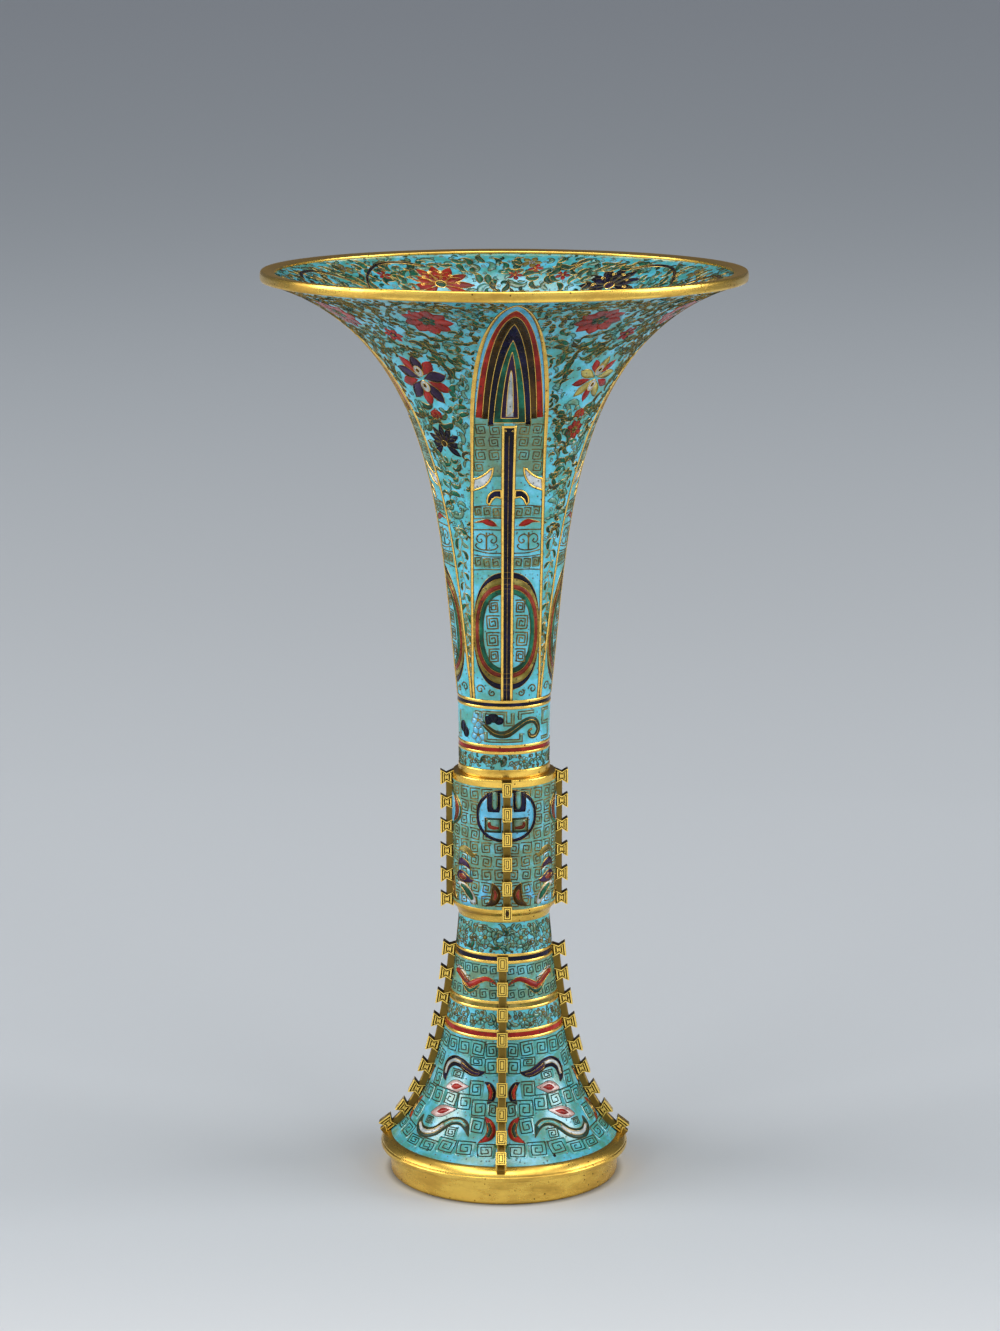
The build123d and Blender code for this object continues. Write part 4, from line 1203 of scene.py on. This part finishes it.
# SHADE_SEAM and WIDE_SHADE_SEAM are widths of painted shade beside the outlines.
BLADE_WIRE, SHOULDER_WIRE, STEM_WIRE, ARCH_WIRE, SHADE_SEAM, WIDE_SHADE_SEAM = 0.95, 0.9, 0.8, 0.3, 0.16, 0.2
blade = Inlay("blade", TRUMPET)
MIRROR = {"turns": BLADES, "sides": (1, -1)}


def blade_half(s):
    """Half width of a blade: even below the shoulder, an arch above, and never past its neighbours."""
    rise = np.clip((np.asarray(s) - BLADE_SHOULDER) / (BLADE_TOP - BLADE_SHOULDER), 0, 1)
    return np.minimum(BLADE_HALF * (1 - rise ** 2) ** 0.66, np.pi / 4 * TRUMPET.radius(s) - 0.6)


def both(x, s):
    """A line up the left side and down the right side."""
    left = line_of(-x, s)
    return np.concatenate([left, (left * [-1, 1])[-2::-1]])


def arch(top, half, power, base):
    """Half widths and heights of a pointed arch, closer together near the top."""
    tall = top - ARCH_FOOT
    rise = np.sin(np.linspace(np.arcsin((base - ARCH_FOOT) / tall), np.pi / 2, ARCH_POINTS))
    return half * np.maximum(1 - rise ** 2, 0) ** power, ARCH_FOOT + tall * rise


to_top = np.sin(np.linspace(0, np.pi / 2, 30))[1:]
up_blade = np.concatenate([np.linspace(0, BLADE_SHOULDER, 60),
                           BLADE_SHOULDER + (BLADE_TOP - BLADE_SHOULDER) * to_top])
outline = both(blade_half(up_blade), up_blade)
blade.wire(outline, BLADE_WIRE, "outline", OUTLINE_CREST, seam=WIDE_SHADE_SEAM, turns=BLADES)
up_shoulder = np.linspace(76, 134, 50)
swell = 0.5 * np.sin(np.linspace(0, np.pi, 50))
swollen = line_of(-swell - blade_half(up_shoulder), up_shoulder)
blade.wire(swollen, SHOULDER_WIRE, "outline", OUTLINE_CREST - 0.02, **MIRROR)
ARCHES = [("red", 143.4, 10.5, 0.72, 92.4), ("ochre", 138.3, 8.4, 0.6, 92.0),
          ("navy", 133.0, 6.6, 0.8, 89.5), ("green", 123.9, 4.95, 0.9, 90.7),
          ("purple", 118.3, 2.75, 0.9, 92.3), ("white", 110.2, 1.15, 0.6, 92.9)]
up_margin = 100 + 48 * np.linspace(0, 1, ARCH_POINTS)
margin = both(blade_half(up_margin) - 0.3, up_margin)
blade.cell("sky", margin, both(*arch(*ARCHES[0][1:])), turns=BLADES)
for (finish, *shape), (_, *small) in zip(ARCHES, ARCHES[1:]):
    line, base = both(*arch(*shape)), shape[-1]
    if finish in ("green", "purple"):
        back = np.linspace(1, -1, 9)[1:-1, None]
        loops = [np.concatenate([one, back * [one[-1, 0], 0] + [0, one[0, 1]]])
                 for one in (line, both(*arch(*small)))]
        blade.cell(finish, *loops, 1, True, turns=BLADES)
        blade.wire(loops[0], ARCH_WIRE, "outline", closed=True, turns=BLADES)
    else:
        blade.cell(finish, line, both(*arch(*small[:3], base)), turns=BLADES)
        blade.wire(line, ARCH_WIRE, "outline", turns=BLADES)
core = both(*arch(*ARCHES[-1][1:]))
core_left, core_right = core[:ARCH_POINTS], core[:ARCH_POINTS - 2:-1]
blade.outlined("white", core_left, core_right, 1, ARCH_WIRE, "outline", turns=BLADES)

stem_s = np.linspace(0, STEM_TOP, 60)
stem_x = np.interp(stem_s, [0, 44, STEM_TOP], [1.42, 1.5, 1.85])
stem_left, stem_right = line_of(-stem_x, stem_s), line_of(stem_x, stem_s)
stem_loop = np.concatenate([stem_left, stem_right[::-1]])
blade.cell("navy", stem_left, stem_right, 2, turns=BLADES)
blade.wire(stem_loop, STEM_WIRE, "outline", OUTLINE_CREST + 0.04, seam=SHADE_SEAM, turns=BLADES)
blade.wire(line_of(0 * stem_s, stem_s)[:-2], 0.22, "wire", 0.18, turns=BLADES)
stem_curls = np.repeat(BLADES, 2) + np.tile([-2.0, 2.0], 4)
curls(blade, stem_curls, 87.9, 0.42, np.tile([1, -1], 4), 1.6, 0.2)

lower = flow([(-11.1, 67.6), (-7.3, 69.3), (-5.2, 72.5), (-4.72, 75.9)])
upper = flow([(-11.1, 71.4), (-9.2, 71.9), (-6.8, 73.5), (-4.72, 75.9)])
blade.outlined("white", lower[:-1], upper[:-1], 1, 0.55, "outline", SHADE_SEAM, **MIRROR)
HOOK = [(-1.9, 66.7, 1.2), (-3.9, 66.8, 1.05), (-5.4, 65.5, 0.85), (-6.1, 63.3, 0.4)]
LIPS = [(-3.3, 56.4, 0.1), (-4.7, 57.0, 0.8), (-6.4, 57.6, 0.95), (-8.0, 57.7, 0.4), (-10.6, 57.2, 0.05)]
stroke(blade, "navy", HOOK, 1, 0.5, metal="outline", seam=SHADE_SEAM, **MIRROR)
stroke(blade, "red", LIPS, 1, 0.22, **MIRROR)
BARS = ((62.9, 0.6, 0.36), (58.9, 0.5, 0.36), (55.1, 0.3, 0.44), (47.6, -0.8, 0.4), (46.4, -0.3, 0.36),
        (42.3, 0.5, 0.36))
for s, bow, width in BARS:
    blade.wire(flow([(-11.0, s - bow), (-6.5, s), (-2.0, s)]), width, "khaki", **MIRROR)
COLUMN_X = -6.6
VOLUTE = [(0, 52.4), (-0.7, 53.3), (-1.9, 53.6), (-3.0, 52.8), (-3.1, 51.5), (-2.2, 50.8), (-1.4, 51.4),
          (-1.9, 52.1)]
ANCHOR = [(0, 48.5), (-1.6, 48.6), (-2.9, 49.0), (-3.6, 49.9), (-3.0, 50.5)]
blade.wire([(COLUMN_X, 54.2), (COLUMN_X, 51.0), (COLUMN_X, 48.5)], 0.6, "khaki", **MIRROR)
for line in (VOLUTE, ANCHOR):
    for hand in (1, -1):
        blade.wire(flow(np.array(line) * [hand, 1] + [COLUMN_X, 0]), 0.44, "khaki", **MIRROR)


def blade_frets(places, width, height, wire, turns=FRET_TURNS, bed=None):
    """Key-frets at (x, s) places on both halves of every blade."""
    x, s = np.array(places, dtype=float).T
    for hand in (1, -1):
        about = (BLADES[:, None] + hand * np.degrees(x / TRUMPET.radius(s))).ravel()
        frets(blade, about, np.tile(s, 4), width, height, hand, wire, "khaki", bed, turns)


up = np.linspace(72.4, 93.2, 16)
blade.cell("sea", line_of(0.5 - blade_half(up), up), line_of(0 * up - 1.6, up), 0.5, **MIRROR)
HIGH_FRETS = [(x, s) for s in (88.2, 83.9, 79.6) for x in (-8.7, -4.4)] + [(-9.0, 75.4)]
SMALL_FRETS = [(x, s) for s in (60.8, 44.4) for x in (-9.2, -6.3, -3.4)]
blade_frets(HIGH_FRETS, 3.8, 3.8, 0.38, turns=1.9)
blade_frets(SMALL_FRETS, 2.7, 3.1, 0.38, turns=1.5, bed="sea")

OVAL_S, OVAL_CORE = 22.5, (7.5, 12.1)
OVALS = [("navy", 10.9, 19.0), ("olive", 10.7, 17.1), ("brick", 10.3, 15.2), ("green", 9.0, 13.7)]
turn_round = np.linspace(0, 2 * np.pi, 64, endpoint=False)


def oval(half_x, half_s, middle=OVAL_S, power=2.4):
    """A closed line between an oval, with power 2, and a rectangle."""
    across, up = np.cos(turn_round), np.sin(turn_round)
    return line_of(half_x * np.sign(across) * abs(across) ** (2 / power),
                   middle + half_s * np.sign(up) * abs(up) ** (2 / power))


for (finish, *outer), (_, *small) in zip(OVALS, OVALS[1:] + [("core", *OVAL_CORE)]):
    blade.cell(finish, oval(*outer), oval(*small), 1, True, turns=BLADES)
    blade.wire(oval(*outer), 0.22, "wire", closed=True, turns=BLADES)
blade.wire(oval(*OVAL_CORE), 0.26, "khaki", closed=True, turns=BLADES)
blade_frets([(-4.5, 19.8), (-4.5, 25.2)], 4.3, 4.7, 0.5)
blade_frets([(-4.1, 14.6), (-4.1, 30.4)], 3.4, 4.5, 0.5)
for x, s, size, turn in ((-8.6, 3.4, 1.6, 0.0), (-4.6, 2.4, 1.2, 2.0)):
    angle = np.linspace(0, 7.5, 13) + turn
    reach = size * np.linspace(1, 0.25, 13)
    blade.wire(line_of(x + reach * np.cos(angle), s + reach * np.sin(angle)), 0.46, "khaki", **MIRROR)
blade.build()

# %% [markdown]
# Lotus scroll fills the ground between the blades and the whole inside of the mouth: large flowers in red,
# purple and yellow, smaller ones in navy, and crowded green leaves, each with its own wire. The leaves
# turn round the nearest flower, as the stems of such a scroll do, and keep clear of the blades. Between
# the feet of the blades only a chain of narrow upright leaves has room.

# %% Lotus scroll on the trumpet
scroll = Inlay("scroll", TRUMPET)
FIELDS = BLADE_TURN + 45 + 90 * np.arange(4)
even, odd = FIELDS[0::2], FIELDS[1::2]
twins = (FIELDS[:, None] + np.array([-18.6, 18.6])).ravel()
rosette(scroll, twins, 134.2, 8.2, "red", "green", "fret", 9, rim=0)
rosette(scroll, FIELDS, 124.6, 3.6, "red", "navy", "yellow", 6, rim=0)
BLOSSOM_S = 105.5
for fields, colour, size, wide in ((odd, "purple", 10.0, 2.2), (even, "yellow", 8.6, 1.6)):
    petals(scroll, "red", fields, BLOSSOM_S, 5, 2.0, size + 0.2, wide * 0.9, level=1, turn=30.0, rim=0)
    petals(scroll, colour, fields, BLOSSOM_S, 5, 0.8, size, wide, level=2, turn=-6.0, rim=0.16, metal="wire")
    for middle in (108.6, 102.8):
        discs(scroll, "white", fields, middle, 1.6, 2.1, 3)
        discs(scroll, "ochre", fields, middle + 0.3, 0.6, 0.8, 4, EYE_RIM)
    petals(scroll, "red", fields, 94.6, 3, 0.2, 3.8, 1.1, level=2, turn=180.0, fan=60.0, rim=0)
lotus(scroll, odd, 82.6, 6.6, ("navy", "navy", "purple"), "ochre", metal="khaki")
rosette(scroll, even, 87.0, 3.6, "red", "olive", "navy", rim=0.14, metal="khaki")
trumpet_flowers = [
    *kept_clear(twins, 134.2, 8.0), *kept_clear(FIELDS, 124.6, 3.6), *kept_clear(FIELDS, BLOSSOM_S, 10.2),
    *kept_clear(odd, 83.6, 5.8), *kept_clear(even, 87.0, 3.5),
]
RIM_ZONE, RIM_ROOM, BLADE_MARGIN = 122.0, 2.7, 0.9


def between_blades(about, s):
    """Room for a leaf beside the blades, and a little everywhere near the rim."""
    x = np.radians(from_angle(about * 4, BLADE_TURN * 4) / 4) * TRUMPET.radius(s)
    room = np.where(s > BLADE_TOP, RIM_ROOM, abs(x) - blade_half(s) - BLADE_MARGIN)
    return np.where(s > RIM_ZONE, np.minimum(room, RIM_ROOM), room)


LARGE_LEAVES = {"green": 0.58, "sea": 0.2, "fret": 0.1}
FILLERS = {"green": 0.25, "sea": 0.15, "teal": 0.1, "curl": 0.3}
foliage(scroll, 56.0, 149.0, 3.8, 6.8, trumpet_flowers, between_blades, 11, LARGE_LEAVES,
        plump=0.14, rim=0.14)
foliage(scroll, 52.0, 150.6, 2.7, 3.2, trumpet_flowers, between_blades, 13, FILLERS,
        plump=0.2, rim=0.15, turning=1.2, level=1.5)
chain = np.arange(9.0, 54.0, 3.4)
lean = np.where(np.arange(len(chain)) % 2, 1.0, -1.0)
gap = np.pi / 4 * TRUMPET.radius(chain) - BLADE_HALF
chain_s, chain_bend = np.tile(chain, 4), np.tile(1.6 * lean, 4)
for finish, side, turn, size in (("green", 0.34, 0.5, 4.6), ("sea", -0.34, -0.5, 3.8)):
    spread = np.degrees(side * gap * lean / TRUMPET.radius(chain))
    about = (FIELDS[:, None] + spread).ravel()
    heading = np.tile(np.pi / 2 + turn * lean + 0.35 * np.sin(2.3 * chain), 4)
    length = np.tile(np.minimum(size, 1.5 + 1.6 * gap) * (0.95 + 0.25 * np.sin(1.7 * chain)), 4)
    leaves(scroll, finish, about, chain_s, heading, length, chain_bend, plump=0.15, rim=0.2)
up_field = np.linspace(4, 56, 40)
scroll.wire(line_of(0.5 * np.sin(up_field * 0.9), up_field), 0.3, "wire", 0.1, turns=FIELDS)
scroll.build()

# %% [markdown]
# Inside the mouth six large lotuses stand in a ring below the rim, red and navy in turn, each with a dark
# vine that reaches out sideways, and with small flowers and buds between them. Two rows of small flowers
# follow further down, and leaves fill the rest.

# %% Lotus scroll inside the mouth
mouth = Inlay("mouth", MOUTH)
MOUTH_TURN, MOUTH_END = 180 + BLADE_TURN, 152.6
thirds, sixths = 120 * np.arange(3), 60 * np.arange(6)
red_lotus, navy_lotus = MOUTH_TURN + 19 + thirds, MOUTH_TURN - 41 + thirds
small_flower, low_flowers = MOUTH_TURN - 11 + sixths, MOUTH_TURN + 4 + sixths
lotus(mouth, red_lotus, 134.5, 11.2, ("red", "red", "red"), "green", 0.95, 0.11)
lotus(mouth, navy_lotus, 135.0, 11.2, ("navy", "navy", "navy"), "purple", 0.95, 0.11, "khaki")
rosette(mouth, small_flower, 146.6, 3.6, "olive", "white", "white", 5, rim=0.1, metal="khaki")
buds = (MOUTH_TURN + np.array([-6.5, -12.5, -22.0, 37.0]) + thirds[:, None]).ravel()
bud_s = np.tile([138.8, 143.0, 139.3, 141.0], 3)
rosette(mouth, buds, bud_s, 2.8, "red", "red", "red", 5, rim=0)
rosette(mouth, low_flowers, 120.0, 4.4, "red", "olive", "green", rim=0.14)
rosette(mouth, low_flowers + 30, 104.0, 3.6, "navy", "white", "olive", 6, rim=0.14)
curl_s, curl_hand = np.tile([134.8, 138.4, 141.0, 141.0, 138.4, 134.8], 3), np.tile([1, 1, 1, -1, -1, -1], 3)
for flowers in (red_lotus, navy_lotus):
    around = (flowers[:, None] + np.array([-6.4, -4.6, -1.8, 1.8, 4.6, 6.4])).ravel()
    curls(mouth, around, curl_s, 0.9, curl_hand)

mouth_flowers = [
    *kept_clear(np.concatenate([red_lotus, navy_lotus]), 136.5, 8.2), *kept_clear(small_flower, 146.6, 2.8),
    *kept_clear(buds, bud_s, 2.1), *kept_clear(low_flowers, 120.0, 4.0),
    *kept_clear(low_flowers + 30, 104.0, 3.2),
]
VINE = ((2.0, 144.6, 0.4), (10.0, 148.0, 0.6), (19.0, 147.4, 0.6), (26.0, 141.0, 0.55), (28.5, 133.0, 0.2))
for flowers, hand in ((red_lotus, 1), (navy_lotus, -1)):
    stroke(mouth, "navy", [(hand * x, s, half) for x, s, half in VINE], 3, 0.2, turns=flowers)


def below_rim(about, s):
    """Room for a leaf in the mouth: the length of wall left up to the rim."""
    return MOUTH_END - s


foliage(mouth, 74.0, 151.0, 4.3, 6.8, mouth_flowers, below_rim, 23, LARGE_LEAVES, plump=0.17, rim=0.14)
foliage(mouth, 72.0, 152.2, 3.2, 3.2, mouth_flowers, below_rim, 29, FILLERS,
        plump=0.2, rim=0.18, turning=1.2, metal="fret", level=1.5)
mouth.build()

# %% [markdown]
# The drum of the knop has a rounded medallion behind the front and back flanges and an almond behind the
# side ones. Between them a smaller mask is laid out: leaf, brow, eye and S-shaped jaw. Small key-frets in a
# dull line fill the rest, on a greener ground, and run on under the edges of the other shapes.

# %% Knop
knop = Inlay("knop", KNOP)
KNOP_FLANGES = KNOP_TURN + 90 * np.arange(4)
FRONT = {"turns": KNOP_FLANGES[0::2]}
ASIDE = {"turns": KNOP_FLANGES[1::2]}
MEDALLION_S, MEDALLION_BAND, PLATE_CREST, KNOP_RIM, KNOP_THIN = 30.4, 1.0, 0.24, 0.22, 0.18
MEDALLIONS = ((FRONT, (9.9, 8.5), "navy", 2.25), (ASIDE, (9.6, 6.0), "green", 1.9))
for turns, (wide, tall), colour, power in MEDALLIONS:
    outer, within = (oval(wide - band, tall - band, MEDALLION_S, power) for band in (0, MEDALLION_BAND))
    knop.cell(colour, outer, within, 4, True, **turns)
    knop.cell("sky", *halves(wide - 0.9, tall - 0.9, MEDALLION_S, power), 4, **turns)
    knop.wire(outer, 0.26, "wire", PLATE_CREST, True, **turns)
    knop.wire(within, KNOP_THIN, "wire", PLATE_CREST, True, **turns)


def block(finish, left, right, low, high, level, rim=KNOP_RIM, round_foot=0.3, **where):
    """A rectangular cell with a more or less rounded foot, and a wire round it."""
    up = np.linspace(0, 1, 7)
    draw = (right - left) * round_foot * (1 - np.sqrt(1 - (1 - np.minimum(up * 3, 1)) ** 2))
    heights = low + (high - low) * up
    knop.outlined(finish, line_of(left + draw, heights), line_of(right - draw, heights), level, rim, **where)


PAIR = {"sides": (1, -1)}
MASK = {**PAIR, **FRONT}
BESIDE = {**PAIR, "turns": KNOP_FLANGES}
block("navy", -6.2, -2.0, 31.6, 38.0, 5, round_foot=0.08, **MASK)
block("sea", -4.5, -2.9, 32.6, 38.2, 6, **MASK)
block("fret", -7.0, -1.7, 25.0, 29.8, 5, round_foot=0.0, **MASK)
block("sea", -6.3, -2.2, 25.7, 29.1, 6, 0.16, 0.0, **MASK)
HOOKS = [(-2.4, 26.6, 0.35), (-4.0, 26.6, 0.55), (-5.3, 27.0, 0.6), (-5.5, 28.4, 0.45)]
ALMOND_SIDES = [(-4.4, 34.6, 0.1), (-6.2, 33.0, 0.9), (-6.9, 30.6, 1.2), (-6.2, 28.2, 0.9),
                (-4.4, 26.4, 0.1)]
stroke(knop, "brick", HOOKS, 7, KNOP_THIN, **MASK)
stroke(knop, "brick", ALMOND_SIDES, 5, KNOP_RIM, **PAIR, **ASIDE)
POOLS = (("jade", [(-18.6, 15.4, 0.5), (-15.6, 16.2, 1.2), (-12.4, 15.4, 0.5)]),
         ("jade", [(-18.6, 11.4, 0.6), (-15.0, 11.6, 1.3), (-11.4, 10.8, 0.6)]),
         ("sky", [(-18.0, 2.4, 1.0), (-15.0, 1.6, 1.3), (-11.8, 1.2, 0.6)]),
         ("sky", [(-9.4, 3.4, 0.5), (-7.6, 4.8, 1.4), (-7.4, 7.4, 0.6)]))
for colour, line in POOLS:
    stroke(knop, colour, line, 0.5, 0, **MASK)
FEATURES = (
    ("olive", 4, [(-18.0, 17.4, 0.2), (-15.8, 18.6, 0.8), (-13.4, 18.2, 0.9), (-11.4, 17.0, 0.6),
                  (-9.8, 17.6, 0.1)]),
    ("purple", 4, [(-18.2, 12.6, 0.2), (-16.4, 14.2, 1.1), (-13.8, 13.6, 0.9), (-12.0, 12.0, 0.1)]),
    ("purple", 4, [(-19.2, 8.6, 0.2), (-17.2, 9.4, 1.7), (-14.8, 9.1, 1.7), (-12.4, 8.6, 0.8),
                   (-11.0, 9.0, 0.1)]),
    ("brick", 5, [(-17.6, 9.4, 0.5), (-15.8, 9.25, 0.9), (-14.0, 9.0, 0.3)]),
    ("white", 4, [(-18.6, 6.6, 0.2), (-17.0, 6.9, 0.8), (-14.6, 5.9, 1.35), (-12.4, 4.0, 1.45),
                  (-11.0, 2.0, 1.0), (-10.8, 0.9, 0.1)]),
    ("green", 5, [(-16.6, 6.6, 0.4), (-14.5, 5.8, 0.95), (-12.5, 4.1, 1.0), (-11.3, 2.5, 0.5)]),
)
for finish, level, line in FEATURES:
    stroke(knop, finish, line, level, KNOP_RIM, **MASK)
TUSK = [(-4.6, 8.6, 0.1), (-3.7, 7.0, 1.0), (-3.4, 4.8, 1.5), (-4.2, 2.6, 1.3), (-6.8, 1.0, 0.1)]
stroke(knop, "ochre", TUSK, 4, KNOP_RIM, **BESIDE)
stroke(knop, "brick", [(-3.9, 6.4, 0.3), (-3.4, 4.8, 0.6), (-3.9, 3.2, 0.3)], 5, KNOP_THIN, **BESIDE)

knop_columns = (np.arange(6) - 2.5) * 15.0
KNOP_HIDDEN = {0: (0.0, MEDALLION_S, 8.4, 7.0), 90: (0.0, MEDALLION_S, 7.8, 4.6)}
knop_reach = np.pi / 4 * KNOP_R
x = np.radians(knop_columns) * KNOP_R
for row, s in enumerate(np.linspace(2.5, 36.9, 9)):
    for quarter in range(4):
        near, far, hand = (90, 0, -1) if quarter % 2 else (0, 90, 1)
        clear = outside(x + knop_reach, s, KNOP_HIDDEN[near]) & outside(x - knop_reach, s, KNOP_HIDDEN[far])
        about = KNOP_TURN + 45 + 90 * quarter + knop_columns[clear]
        frets(knop, about, s, 3.8, 3.9, hand if row % 2 else -hand, 0.44, "khaki", turns=1.9)
knop.build()

# %% [markdown]
# The lowest tooth of the front knop flange has lost the pin that went through it, and a dark hole is left.
# It is drawn as painted shade: a small dish of dark enamel that stands a hair proud of the tooth, rings of
# points that fall from a narrow rim to the middle.

# %% Lost pin
HOLE_HALF, HOLE_TALL, HOLE_PROUD, HOLE_FLOOR, HOLE_POINTS = 0.62, 1.0, 0.05, 0.02, 24
dish = np.array([(1.0, -0.2), (1.0, HOLE_PROUD), (0.8, HOLE_PROUD), (0.7, HOLE_FLOOR), (0.02, HOLE_FLOOR)])
dish_angle = np.linspace(0, 2 * np.pi, HOLE_POINTS, endpoint=False)
dish_across = dish[:, :1] * HOLE_HALF * np.cos(dish_angle)
dish_up = knop_spots[-1] + KNOP_LOW + dish[:, :1] * HOLE_TALL * np.sin(dish_angle)
dish_out = KNOP_R + KNOP_TOOTH[0] + dish[:, 1:] + 0 * dish_across
dish_points = beside(math.radians(KNOP_TURN), dish_out, dish_up, dish_across).reshape(-1, 3)
# A dark plate of painted shade where the hole is.
piece("knop_pin_hole", dish_points, grid_quads(len(dish), HOLE_POINTS, close_columns=True), "ochre")
print("one lost pin")

# %% [markdown]
# Five narrow bands remain. Three carry small lotus scroll, one a scroll of dragon curls, and one a pair of
# wavy horns on key-fret. They use the same leaves and flowers, drawn smaller.

# %% Narrow bands
SMALL_LEAVES = {"sea": 0.42, "moss": 0.18, "green": 0.05, "curl": 0.35}


def lotus_band(zone, wall, ends, turn, seed, flowers=8):
    """A belt of small leaves and curls with a row of small green flowers, between two heights."""
    belt = Inlay(zone, wall)
    low, high = (wall.at_height(end) for end in ends)
    middle = (low + high) / 2
    about = turn + 360 / flowers * (np.arange(flowers) + 0.5)
    size = min(2.6, (high - low) * 0.36)
    petals(belt, "teal", about, middle, 7, size * 0.15, size, size * 0.34, level=2, rim=0.24, metal="khaki")
    discs(belt, "olive", about, middle, size * 0.26, size * 0.26, 3, 0.2, "khaki")

    def inside(about, s):
        """Room for a leaf: its distance from the nearer edge of the belt, less a margin."""
        return np.minimum(s - low, high - s) - 0.5

    foliage(belt, low + 0.7, high - 0.3, 1.75, 3.3, kept_clear(about, middle, size * 0.9), inside, seed,
            SMALL_LEAVES, plump=0.17, rim=0.32, turning=1.2, metal="khaki", curl=0.4)
    belt.build()


lotus_band("neck_lotus", NECK, NECK_BANDS["neck_lotus_enamel"], BLADE_TURN, 31)
lotus_band("stem_lotus", FOOT, FOOT_BANDS["stem_lotus_enamel"], FOOT_TURN, 37)
lotus_band("foot_lotus", FOOT, FOOT_BANDS["foot_lotus_enamel"], FOOT_TURN, 41)


def fine(path, step=0.9):
    """The same line with points at most a step apart, so that it follows the bend of the wall."""
    path = np.array(path, dtype=float)
    counts = np.ceil(np.hypot(*np.diff(path, axis=0).T) / step).astype(int)
    parts = [first + np.arange(1, count + 1) / count for first, count in enumerate(counts)]
    place = np.concatenate([[0], *parts])
    return line_of(*(np.interp(place, np.arange(len(path)), column) for column in path.T))


neck = Inlay("neck_scroll", NECK)
NECK_TURNS, NECK_R = BLADE_TURN + 180 * np.arange(2), 14.4
TAIL = [(-8.6, 15.4, 0.3), (-6.4, 13.6, 0.7), (-3.4, 11.6, 1.0), (0.0, 11.5, 1.1), (3.4, 13.6, 1.05),
        (6.6, 15.4, 1.0), (9.6, 15.2, 0.95), (11.2, 12.6, 0.85), (10.0, 10.4, 0.7), (8.0, 10.4, 0.6),
        (7.4, 12.0, 0.4), (8.6, 12.8, 0.2)]
stroke(neck, "fret", TAIL, 1, 0.3, metal="khaki", turns=NECK_TURNS)
neck.wire(flow(TAIL)[:, :2], 0.26, "wire", 0.2, turns=NECK_TURNS)
CLUSTERS = ((-16.2, 12.6, 1.5, 1.9), (-14.6, 11.0, 1.4, 1.7), (-6.0, 15.8, 1.6, 1.4),
            (-4.2, 16.6, 1.8, 1.5), (-2.4, 15.8, 1.5, 1.3))
for x, s, wide, tall in CLUSTERS:
    discs(neck, "navy", NECK_TURNS + math.degrees(x / NECK_R), s, wide, tall, 2, THIN, "fret")
neck_flower = NECK_TURNS - 37.0
for s in (15.6, 10.8):
    petals(neck, "sky", neck_flower, s, 5, 0.3, 2.9, 1.15, level=1, turn=36.0, rim=0.24, metal="olive")
    discs(neck, "olive", neck_flower, s, 0.5, 0.5, 2, EYE_RIM, "khaki")
STEPS = ([(-7.2, 15.2), (-7.2, 18.2), (-0.4, 18.2), (-0.4, 14.6), (1.9, 14.6), (1.9, 18.2)],
         [(4.2, 16.0), (4.2, 18.2), (9.4, 18.2)], [(-6.6, 12.0), (-6.6, 9.3), (4.6, 9.3), (4.6, 11.6)],
         [(17.0, 18.2), (13.4, 18.2), (13.4, 14.0), (17.0, 14.0), (17.0, 9.2), (12.6, 9.2)],
         [(-21, 9.2), (-18.6, 9.2), (-18.6, 17.6)], [(-10.6, 18.0), (-8.6, 18.0), (-8.6, 16.4)])
for line in STEPS:
    neck.wire(fine(line), 1.4, "khaki", 0.07, turns=NECK_TURNS)
    neck.wire(fine(line), 0.64, "sea", 0.11, turns=NECK_TURNS)
neck.build()

band = Inlay("foot_small_mask", FOOT)
WAVE = [(-19.4, 60.2, 0.4), (-17.2, 60.3, 1.0), (-14.7, 59.2, 1.15), (-11.6, 57.2, 1.2), (-8.4, 58.8, 0.9),
        (-5.4, 59.9, 0.7), (-3.2, 59.2, 0.5), (-1.6, 57.9, 0.15)]
BROW = [(-15.2, 58.0, 0.2), (-13.2, 56.3, 0.8), (-11.4, 55.4, 0.8), (-9.4, 56.6, 0.6), (-7.6, 57.6, 0.1)]
spot = {"turns": FOOT_FLANGES[0::2], "sides": (1, -1)}
stroke(band, "red", WAVE, 2, THICK, **spot)
stroke(band, "white", inner(WAVE, 0.62, 1.3, 0, 4), 1, 0.2, **spot)
stroke(band, "green", BROW, 1, THICK, **spot)
small_columns = (np.arange(7) - 3) * 11.6
for s, tall in ((55.0, 3.2), (62.6, 3.2), (58.6, 2.6)):
    columns = small_columns if tall > 3 else small_columns[[0, 3, 6]]
    frets(band, (QUARTERS[:, None] + columns).ravel(), s, 3.0, tall, 1, 0.36, turns=1.6)
band.build()
